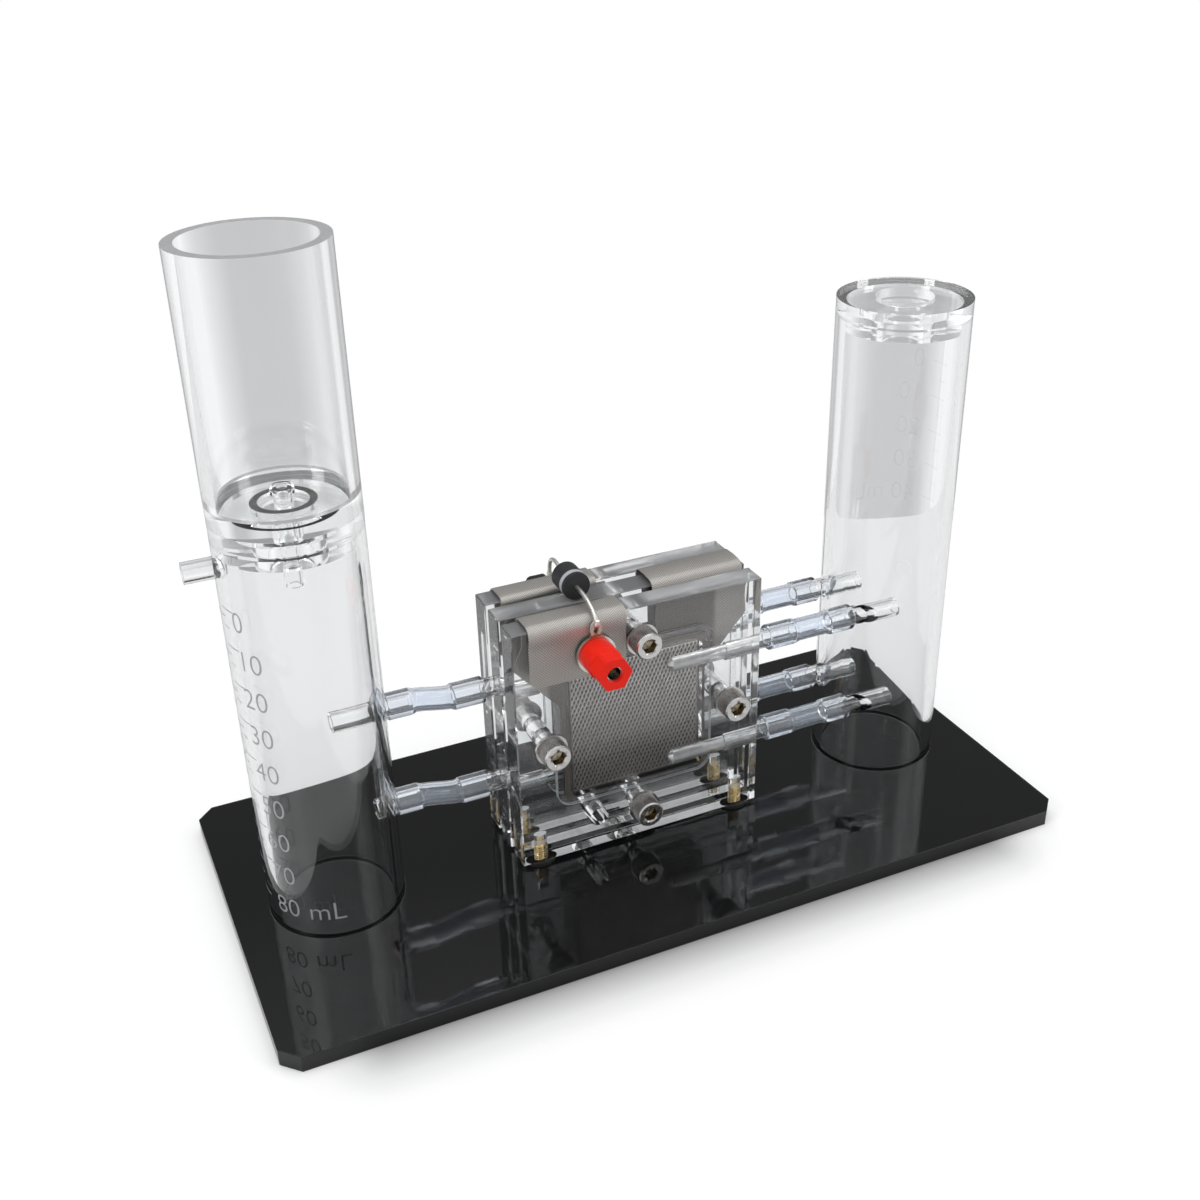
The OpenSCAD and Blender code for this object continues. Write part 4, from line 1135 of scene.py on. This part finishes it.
# %% [markdown]
# Threads are rings of ridges, spun from one zigzag edge. A true helix needs a swept profile and would
# look the same at this size. Plain shanks and cones are two loops with walls bridged between them and
# both ends filled.

# %% Threads and shanks
thread_depth = 0.28 * MM


def loop_edges(verts):
    """The edges that join a loop's own vertices."""
    inside = set(verts)
    return list({edge for vert in verts for edge in vert.link_edges if edge.other_vert(vert) in inside})


def ring(mesh, radius, height, count):
    """A round loop of edges."""
    made = bmesh.ops.create_circle(mesh, segments=count, radius=radius)["verts"]
    shift(mesh, (0, 0, height), made)
    return loop_edges(made)


def plain_bar(mesh, ends, count):
    """A round bar or cone between two ends, each a radius and a height."""
    loops = [ring(mesh, radius, height, count) for radius, height in ends]
    bmesh.ops.bridge_loops(mesh, edges=loops[0] + loops[1])
    for loop in loops:
        bmesh.ops.holes_fill(mesh, edges=loop, sides=0)


def spun(mesh, outline, steps=24):
    """Spins an outline of (radius, height) about the z axis and gives back the new vertices."""
    before = set(mesh.verts)
    verts = [mesh.verts.new((radius, 0, height)) for radius, height in outline]
    edges = [mesh.edges.new(pair) for pair in zip(verts, verts[1:])]
    bmesh.ops.spin(mesh, geom=verts + edges, cent=(0, 0, 0), axis=(0, 0, 1), angle=math.tau, steps=steps,
                   use_merge=True)
    return [vert for vert in mesh.verts if vert not in before]


def threaded_bar(mesh, radius, start, end, pitch, steps):
    """A bar with thread ridges between two heights."""
    root = radius - thread_depth
    points = [(0, start), (root, start)]
    for number in range(int((end - start) / pitch)):
        base = start + number * pitch
        points += [(root, base + 0.1 * pitch), (radius, base + 0.45 * pitch), (radius, base + 0.6 * pitch)]
    points += [(root, end), (0, end)]
    spun(mesh, points, steps)


print("thread helpers ready")

# %% [markdown]
# Head, shank and thread are made upright, laid down, and put on the four axes.

# %% Clamp bolts
bolt_axes = [(bolt_circle, 0), (0, bolt_circle), (-bolt_circle, 0), (0, -bolt_circle)]
bolt_radius = 2.5 * MM
bolt_pitch = 0.8 * MM
bolt_steps = 36
head_radius = 4.25 * MM
key_width = 4.0 * MM
key_depth = 2.8 * MM
thread_length = 22 * MM

head_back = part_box("head_washers")[0].y
bolt_low, bolt_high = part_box("clamp_bolts")
thread_foot = head_back - bolt_high.y
bolts = bmesh.new()
for place_x, place_z in bolt_axes:
    one = bmesh.new()
    socket_screw(one, head_radius, head_back - bolt_low.y, key_width, key_depth)
    threaded_bar(one, bolt_radius, thread_foot, thread_foot + thread_length, bolt_pitch, bolt_steps)
    plain_bar(one, ((bolt_radius, thread_foot + thread_length), (bolt_radius, 0.05 * MM)), bolt_steps)
    swing(one, 90, "X")
    shift(one, (place_x, head_back, stack_middle + place_z))
    add_to(bolts, one)
# Painted shade: darker copies of the steel for the socket recess and the knurled side.
socket_shade_steel = metal("socket_shade_steel", (0.44, 0.38, 0.27, 1), (0.24, 0.20, 0.13, 1), 900.0, 0.14, 0.30)
knurl_shade_steel = metal("knurl_shade_steel", (0.44, 0.425, 0.41, 1), (0.32, 0.31, 0.30, 1), 1800.0, 0.24, 0.38)
finish_piece("knurled_bolts", bolts, satin_steel, ("clamp_bolts",), smooth_angle=25.0,
             more=(socket_shade_steel, knurl_shade_steel))

# %% [markdown]
# ## Brass screws
#
# Four brass screws come up through the base into the end plates, where their threads show through the
# acrylic. Each is a threaded bar with a countersunk head below.

# %% Brass screws
head_depth = 2.0 * MM
screw_head = 4.0 * MM
screw_neck = 2.0 * MM
screw_radius = 2.2 * MM
screw_pitch = 0.7 * MM
screw_steps = 28

screw_low, screw_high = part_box("stack_screws")
screws = bmesh.new()
for place_x in (-screw_side, screw_side):
    for place_y in (-port_depth, port_depth):
        one = bmesh.new()
        neck_height = screw_low.z + head_depth
        threaded_bar(one, screw_radius, neck_height, screw_high.z, screw_pitch, screw_steps)
        plain_bar(one, ((screw_head, screw_low.z), (screw_neck, neck_height)), screw_steps)
        shift(one, (place_x, place_y, 0))
        add_to(screws, one)
finish_piece("brass_screws", screws, brass, ("stack_screws",), smooth_angle=25.0)

# %% [markdown]
# ## Hoses
#
# Short sleeves of soft tube join the nozzles. Over a nozzle the tube is stretched and between two nozzles
# it keeps its own width, so the outline swells at both ends. The outline runs out along the outside and
# back along the bore, and is spun once round the axis: one spin gives both walls and the cut ends. The
# hydrogen cylinder's nozzles lie 2 mm higher than the stack's, so those two sleeves are then bent, by
# lifting each corner a little more the further out it lies. Round walls need many faces here, because a
# flat one shows at once in clear tube.

# %% Hoses
neck = 1.5 * MM
hose_slim = 3.5 * MM
hose_wide = 4.0 * MM
bore_slim = 2.6 * MM
bore_wide = 3.04 * MM
cut_radius = 3.82 * MM
cut_chamfer = 0.2 * MM


def eased(share):
    """A soft step from 0 to 1."""
    share = min(max(share, 0.0), 1.0)
    return share * share * (3 - 2 * share)


def swell(place, slim, wide):
    """The radius at a place along the hose."""
    slimness = eased((place - stack_tip) / neck) * eased((tube_tip - place) / neck)
    return wide + (slim - wide) * slimness


def hose(name, side, end, depth, height, lift):
    """A hose on the left (side -1) or right (side 1), from its stack nozzle to the end."""
    rows = [sleeve_start + step * MM for step in range(1, 30)]
    coarse = [row for row in rows if row < end - 0.3 * MM]
    fine = [tip + step * 0.25 * neck for tip in (stack_tip, tube_tip - neck) for step in range(5)]
    places = sorted([sleeve_start + cut_chamfer, end - cut_chamfer, *coarse, *fine])
    outside = [(place, swell(place, hose_slim, hose_wide)) for place in places]
    bore = [(place, swell(place, bore_slim, bore_wide)) for place in (sleeve_start, *places, end)]
    outline = [(sleeve_start, cut_radius), *outside, (end, cut_radius), *reversed(bore)]
    mesh = bmesh.new()
    verts = [mesh.verts.new((place, 0, radius)) for place, radius in outline]
    edges = [mesh.edges.new((vert, verts[number - 1])) for number, vert in enumerate(verts)]
    bmesh.ops.spin(mesh, geom=verts + edges, cent=(0, 0, 0), axis=(1, 0, 0), angle=math.tau, steps=64,
                   use_merge=True)
    for vert in mesh.verts:
        vert.co.z += lift * eased((vert.co.x - stack_tip) / (tube_tip - stack_tip))
    stretch(mesh, (side, 1, 1))
    shift(mesh, (0, depth, stack_middle + height))
    finish_piece(name + "_tube", mesh, soft_hose, (name,), smooth_angle=30.0)


for level, height in (("upper", port_height), ("lower", -port_height)):
    hose("h2_" + level + "_hose", -1, h2_sleeve_end, 0.0, height, h2_lift)
    hose("o2_front_" + level + "_hose", 1, o2_sleeve_end, -port_depth, height, 0.0)
    hose("o2_rear_" + level + "_hose", 1, o2_sleeve_end, port_depth, height, 0.0)

# %% [markdown]
# ## Folded cloth
#
# The collectors are cut from flat cloth and folded by hand, so they do not lie hard on the plates: the
# cloth swells round each shoulder. Each piece starts as its flat leaf, one face with eight corners. Its
# top edge is then carried on with `extrude_edge_only` for the straight runs and `spin` for the bends, as
# the cloth was bent, and a Solidify modifier gives the thickness evenly to both sides.

# %% Cutting and bending cloth
cloth_thickness = 0.4 * MM
leaf_half = 23.5 * MM
leaf_out = 38.4 * MM
slant_top = 14.0 * MM
slant_foot = 30.8 * MM
plate_top = 86.04 * MM


def cloth_leaf(mesh, depth, inner, outer, swell_from):
    """The flat leaf with a slanted shoulder and a tab from x = -outer to -inner; gives its top edge."""
    corners = ((-outer, swell_from), (-inner, swell_from), (-inner, stack_middle + leaf_half),
               (leaf_half, stack_middle + leaf_half), (leaf_half, stack_middle - leaf_half),
               (-leaf_half, stack_middle - leaf_half), (-leaf_half, plate_top - slant_foot),
               (-leaf_out, plate_top - slant_top))
    face = mesh.faces.new([mesh.verts.new((x, depth, z)) for x, z in corners])
    return [max(face.edges, key=lambda edge: sum(vert.co.z for vert in edge.verts))]


def carry(mesh, edges, *ways):
    """Extends the cloth straight on by each step (y, z)."""
    for way_y, way_z in ways:
        made = bmesh.ops.extrude_edge_only(mesh, edges=edges)["geom"]
        moved = [item for item in made if isinstance(item, bmesh.types.BMVert)]
        edges = [item for item in made if isinstance(item, bmesh.types.BMEdge)]
        shift(mesh, (0, way_y, way_z), moved)
    return edges


def bend(mesh, edges, centre_y, centre_z, angle, steps=10):
    """Bends the cloth round an axis along x."""
    ends = list({vert for edge in edges for vert in edge.verts})
    made = bmesh.ops.spin(mesh, geom=ends + edges, cent=(0, centre_y, centre_z), axis=(1, 0, 0),
                          angle=math.radians(angle), steps=steps)["geom_last"]
    return [item for item in made if isinstance(item, bmesh.types.BMEdge)]


def edge_place(edges):
    """The depth and height that the cloth has reached."""
    return edges[0].verts[0].co.y, edges[0].verts[0].co.z


def finish_cloth(name, mesh, replaced):
    """Makes the sheet a piece with its thickness."""
    piece = finish_piece(name, mesh, metal_cloth, (replaced,), smooth_angle=60.0)
    thick = piece.modifiers.new("thickness", "SOLIDIFY")
    thick.thickness = cloth_thickness
    thick.offset = 0.0


print("cloth helpers ready")

# %% [markdown]
# An end plate's cloth comes up behind it, swells a little, goes over its top and hangs down its front,
# where the corners are cut round. The rear one is the same in mirror image.

# %% End plate cloths
outer_depth = -6.26 * MM
shoulder_radius = 1.8 * MM
top_radius = 3.0 * MM
hem_radius = 3.0 * MM
top_bend_y = -12.5 * MM
hem_height = 67.54 * MM


def outer_cloth():
    """The cloth of an end plate: up behind it, over its top and down its front."""
    mesh = bmesh.new()
    edges = cloth_leaf(mesh, outer_depth, 5 * MM, 35 * MM, plate_top - 7 * MM)
    edges = carry(mesh, edges, (0.10 * MM, 2.0 * MM), (0.28 * MM, 2.2 * MM), (0.16 * MM, 2.0 * MM))
    shoulder_y, shoulder_z = edge_place(edges)
    edges = bend(mesh, edges, shoulder_y - shoulder_radius, shoulder_z, 90)
    top_y, top_z = edge_place(edges)
    edges = carry(mesh, edges, (top_bend_y - top_y, 0))
    edges = bend(mesh, edges, top_bend_y, top_z - top_radius, 90, 14)
    last_drop = hem_height - edge_place(edges)[1] + 4.6 * MM
    edges = carry(mesh, edges, (0.06 * MM, -1.0 * MM), (0.22 * MM, -1.2 * MM), (0.28 * MM, -1.2 * MM),
                  (0.18 * MM, -1.2 * MM), (0.02 * MM, last_drop))
    corners = list({vert for edge in edges for vert in edge.verts})
    bmesh.ops.bevel(mesh, geom=corners, offset=hem_radius, offset_type="OFFSET", segments=6, profile=0.5,
                    affect="VERTICES", material=-1)
    return mesh


finish_cloth("plus_cloth", outer_cloth(), "plus_collector")
rear_cloth = outer_cloth()
stretch(rear_cloth, (1, -1, 1))
finish_cloth("minus_cloth", rear_cloth, "minus_collector")

# %% [markdown]
# The middle cloth joins the two cells over the middle plate. Half of it is made, up to the crown, and the
# mirror operator adds the other half.

# %% Bridge cloth
bridge_depth = -4.24 * MM
crown_radius = 2.4 * MM

bridge_cloth = bmesh.new()
edges = cloth_leaf(bridge_cloth, bridge_depth, 8 * MM, 38 * MM, plate_top - 8 * MM)
edges = carry(bridge_cloth, edges, (-0.20 * MM, 2.4 * MM), (-0.70 * MM, 2.6 * MM), (-0.46 * MM, 2.4 * MM))
shoulder_y, shoulder_z = edge_place(edges)
edges = bend(bridge_cloth, edges, shoulder_y + crown_radius, shoulder_z, -84)
carry(bridge_cloth, edges, (-edge_place(edges)[0], 0.16 * MM))
half = bridge_cloth.verts[:] + bridge_cloth.edges[:] + bridge_cloth.faces[:]
bmesh.ops.mirror(bridge_cloth, geom=half, axis="Y", merge_dist=1e-6)
stretch(bridge_cloth, (-1, 1, 1))
finish_cloth("bridge_cloth", bridge_cloth, "bridge_collector")

# %% [markdown]
# ## Solder lugs
#
# Each socket clamps a tinned lug whose oval eye stands up behind the washer and leans away from the
# cloth. The lug is made flat, as it was punched: two round loops give the ring, two oval ones the eye, a
# short strip joins them, and the upper part is then bent forward.

# %% Solder lugs
lug_thickness = 0.7 * MM
lug_fold = 4.6 * MM
lug_lean = 5
lug_outside = (4.0 * MM, 4.0 * MM)
lug_inside = (2.1 * MM, 2.1 * MM)
eye_outside = (1.75 * MM, 2.7 * MM)
eye_inside = (0.8 * MM, 1.6 * MM)
eye_middle = 8.4 * MM
strip_half = (1.2 * MM, 1.5 * MM)
strip_middle = 4.9 * MM
socket_side = -15.0 * MM
socket_height = 75.04 * MM


def eye_loop(mesh, half_width, half_height, middle, count):
    """An oval loop in the plane of the lug."""
    made = bmesh.ops.create_circle(mesh, segments=count, radius=1.0)["verts"]
    stretch(mesh, (half_width, half_height, 1), made)
    shift(mesh, (0, middle, 0), made)
    return loop_edges(made)


def flat_ring(mesh, outside, inside, middle, count):
    """A flat ring between two ovals, each a half width and a half height."""
    outer = eye_loop(mesh, *outside, middle, count)
    bmesh.ops.bridge_loops(mesh, edges=outer + eye_loop(mesh, *inside, middle, count))


def solder_lug(name, replaced, side):
    """A lug on the plus (side -1) or minus (side 1) socket."""
    low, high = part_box(replaced)
    mesh = bmesh.new()
    flat_ring(mesh, lug_outside, lug_inside, 0.0, 40)
    flat_ring(mesh, eye_outside, eye_inside, eye_middle, 32)
    strip = bmesh.ops.create_grid(mesh, x_segments=1, y_segments=6, size=1.0)["verts"]
    stretch(mesh, (*strip_half, 1), strip)
    shift(mesh, (0, strip_middle, 0), strip)
    bmesh.ops.solidify(mesh, geom=mesh.faces[:], thickness=lug_thickness)
    shift(mesh, (0, 0, -min(vert.co.z for vert in mesh.verts)))
    upper = [vert for vert in mesh.verts if vert.co.y > lug_fold]
    swing(mesh, lug_lean, "X", upper, centre=(0, lug_fold, 0))
    swing(mesh, 90, "X")
    stretch(mesh, (1, -side, 1))
    shift(mesh, (socket_side, high.y if side < 0 else low.y, socket_height))
    finish_piece(name, mesh, dull_tin, (replaced,), smooth_angle=35.0)


solder_lug("plus_lug", "plus_solder_lug", -1)
solder_lug("minus_lug", "minus_solder_lug", 1)

# %% [markdown]
# ## Diode leads
#
# The diode's wire comes down to the eye in an easy curve and ends in a drop of solder. A wire could be
# extruded ring by ring, but a curve with a round bevel keeps its width in every bend. It is made mesh at
# once, so that it can share a piece with its solder.

# %% Wires from curves
def add_curve(mesh, curve):
    """Makes a curve or a text a mesh, adds it and lets it go."""
    holder = bpy.data.objects.new("curve", curve)
    made = bpy.data.meshes.new_from_object(holder)
    mesh.from_mesh(made)
    bpy.data.objects.remove(holder)
    bpy.data.curves.remove(curve)
    bpy.data.meshes.remove(made)


def swept_wire(mesh, points, radius):
    """Adds a round wire along a smooth curve that the points lead."""
    curve = bpy.data.curves.new("wire", "CURVE")
    curve.dimensions = "3D"
    spline = curve.splines.new("NURBS")
    spline.points.add(len(points) - 1)
    for corner, point in zip(spline.points, points):
        corner.co = (*point, 1.0)
    spline.order_u = 4
    spline.use_endpoint_u = True
    curve.resolution_u = 6
    curve.bevel_depth = radius
    curve.bevel_resolution = 3
    curve.use_fill_caps = True
    add_curve(mesh, curve)


def in_metres(outline):
    """Pairs in millimetres made metres."""
    return [(first * MM, second * MM) for first, second in outline]


print("wire helpers ready")

# %% [markdown]
# A drop is spun from its outline, as solder is round about the wire, then pressed a little flat against
# the eye and leaned with it. The outline and the two ways are pairs in millimetres.

# %% Diode leads
wire_radius = 0.62 * MM
drop_lean = 18
drop_flatness = 0.75
drop_depth = 17.4 * MM
drop_height = 85.3 * MM
solder_outline = ((0.0, 1.6), (0.60, 1.5), (0.72, 0.9), (0.95, 0.35), (1.05, -0.1), (0.85, -0.6),
                  (0.45, -0.85), (0.0, -0.9))
front_way = ((3.2, 90.74), (5.8, 90.7), (9.6, 90.3), (13.0, 89.2), (15.7, 87.7), (17.1, 86.4),
             (17.3, 85.4), (17.2, 84.6))
rear_way = ((5.2, 90.74), (7.6, 90.9), (10.6, 91.6), (13.4, 92.0), (16.0, 91.2), (17.4, 88.6),
            (17.4, 86.6), (17.2, 84.6))

leads = bmesh.new()
for side, way in ((-1, front_way), (1, rear_way)):
    swept_wire(leads, [(socket_side, side * y, z) for y, z in in_metres(way)], wire_radius)
    drop = spun(leads, in_metres(solder_outline))
    stretch(leads, (1, drop_flatness, 1), drop)
    swing(leads, -drop_lean * side, "X", drop)
    shift(leads, (socket_side, side * drop_depth, drop_height), drop)
finish_piece("diode_wires", leads, tinned, ("diode_leads",), smooth_angle=60.0)

# %% [markdown]
# ## Flux
#
# A little amber flux is left at the foot of each eye. It is spun flat like a drop and pressed to the lug.

# %% Flux
flux_flatness = 0.42
flux_depth = 16.15 * MM
flux_height = 81.35 * MM
flux_outline = ((0.0, 0.45), (0.8, 0.42), (1.5, 0.26), (1.85, 0.05), (1.7, -0.2), (0.0, -0.25))

flux_amber, tree, shader = new_material("flux_amber", IOR=1.5)
two_tone(tree, shader, 900.0, 0.3, (0.42, 0.16, 0.015, 1), (0.20, 0.060, 0.006, 1))
grained(tree, shader, 1500.0, 0.08, 0.24)
for name, side in (("plus_flux", -1), ("minus_flux", 1)):
    flux = bmesh.new()
    spun(flux, in_metres(flux_outline))
    stretch(flux, (1, flux_flatness, 1))
    swing(flux, 90, "X")
    stretch(flux, (1, -side, 1))
    shift(flux, (socket_side, side * flux_depth, flux_height))
    finish_piece(name, flux, flux_amber, smooth_angle=60.0)

# %% [markdown]
# ## Volume scales
#
# A volume scale is printed on each cylinder with light ink, from 0 at the top downwards, since gas
# collects at the top and pushes the water down. The figures are set flat as text and made mesh. Their
# width and height are measured first, so that the figures get the size of the print in any font.

# %% Figures
figure_height = 5.9 * MM
figure_advance = 4.36 * MM


def flat_text(body):
    """A bmesh of one line of text that starts near x = 0."""
    curve = bpy.data.curves.new("figures", "FONT")
    curve.body = body
    curve.resolution_u = 4
    curve.offset = -0.012
    text = bmesh.new()
    add_curve(text, curve)
    return text


def width_and_height(text):
    """The span of flat text."""
    across = [vert.co.x for vert in text.verts]
    upward = [vert.co.y for vert in text.verts]
    return min(across), max(across), min(upward), max(upward)


one_figure = flat_text("0")
two_figures = flat_text("00")
figure_left, figure_right, figure_low, figure_high = width_and_height(one_figure)
font_advance = width_and_height(two_figures)[1] - figure_right
one_figure.free()
two_figures.free()
print("font advance", round(font_advance, 3), "height", round(figure_high - figure_low, 3))

# %% [markdown]
# The flat print is cut into narrow strips with `bisect_plane` and rolled round the cylinder: without the
# cuts a long stroke would leave the round wall. A Shrinkwrap modifier could press it on, but it needs a
# target that the export takes away.

# %% Rolling print on
print_radius = 20.02 * MM
strip_width = 0.7 * MM


def roll_on(target, flat, axis_x, azimuth, height):
    """Rolls flat work round a cylinder: x runs round it from the azimuth, y runs up from the height."""
    left, right = width_and_height(flat)[:2]
    cut = math.floor(left / MM) * MM
    while cut < right:
        everything = flat.verts[:] + flat.edges[:] + flat.faces[:]
        bmesh.ops.bisect_plane(flat, geom=everything, plane_co=(cut, 0, 0), plane_no=(1, 0, 0))
        cut += strip_width
    for vert in flat.verts:
        turned = azimuth + vert.co.x / print_radius
        across = axis_x + print_radius * math.cos(turned)
        vert.co = (across, print_radius * math.sin(turned), height + vert.co.y)
    add_to(target, flat)


print("print is cut each", round(strip_width / MM, 1), "mm")

# %% [markdown]
# Each figure has a long tick beside it, and a short one stands half way to the next. A tick is a grid of
# eight faces, so that it has corners to roll.

# %% Layout of a scale
scale_step = 11.4 * MM
tick_turn = math.radians(38)
tick_width = 0.32 * MM
long_tick = 7.5 * MM
short_tick = 4.2 * MM


def tick(length):
    """A short printed line that starts at x = 0."""
    line = bmesh.new()
    bmesh.ops.create_grid(line, x_segments=8, y_segments=1, size=0.5)
    stretch(line, (length, tick_width, 1))
    shift(line, (length / 2, 0, 0))
    return line


def volume_scale(axis_x, top, azimuth, last):
    """Figures each 10 from 0 down to the last, long ticks beside them and short ticks half way."""
    work = bmesh.new()
    for number in range(0, last + 1, 10):
        height = top - number / 10 * scale_step
        text = flat_text(str(number) + (" mL" if number == last else ""))
        shift(text, (-(figure_left + figure_right) / 2, -(figure_low + figure_high) / 2, 0))
        stretch(text, (figure_advance / font_advance, figure_height / (figure_high - figure_low), 1))
        roll_on(work, text, axis_x, azimuth, height)
        roll_on(work, tick(long_tick), axis_x, azimuth - tick_turn, height)
        if number < last:
            roll_on(work, tick(short_tick), axis_x, azimuth - tick_turn, height - scale_step / 2)
    return work


print("figures stand", round(scale_step / MM, 1), "mm apart")

# %% [markdown]
# The left scale faces the viewer in full ink. The right one faces the rear and is seen through its
# cylinder in mirror image, in an ink so thin that it only covers in part.

# %% Volume scales
left_zero = 105.8 * MM
left_turn = math.radians(-152)
right_zero = 136.0 * MM
right_turn = math.radians(34.5)
thin_cover = 0.11


def printed_ink(name, light, dark, cover):
    """Light ink with worn spots, that covers fully or in part."""
    material, tree, shader = new_material(name, Specular_IOR_Level=0.2, Alpha=cover)
    two_tone(tree, shader, 700.0, 0.3, light, dark)
    grained(tree, shader, 1300.0, 0.45, 0.65)
    return material


scale_ink = printed_ink("scale_ink", (0.44, 0.43, 0.45, 1), (0.36, 0.355, 0.375, 1), 1.0)
faded_ink = printed_ink("faded_ink", (0.66, 0.65, 0.66, 1), (0.56, 0.555, 0.57, 1), thin_cover)
left_print = volume_scale(-tube_side, left_zero, left_turn, 80)
finish_piece("left_scale", left_print, scale_ink, smooth_angle=0.0, merge=0)
right_print = volume_scale(tube_side, right_zero, right_turn, 40)
finish_piece("right_scale", right_print, faded_ink, smooth_angle=0.0, merge=0)

low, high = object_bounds()
print("visual box", tuple(low), tuple(high))
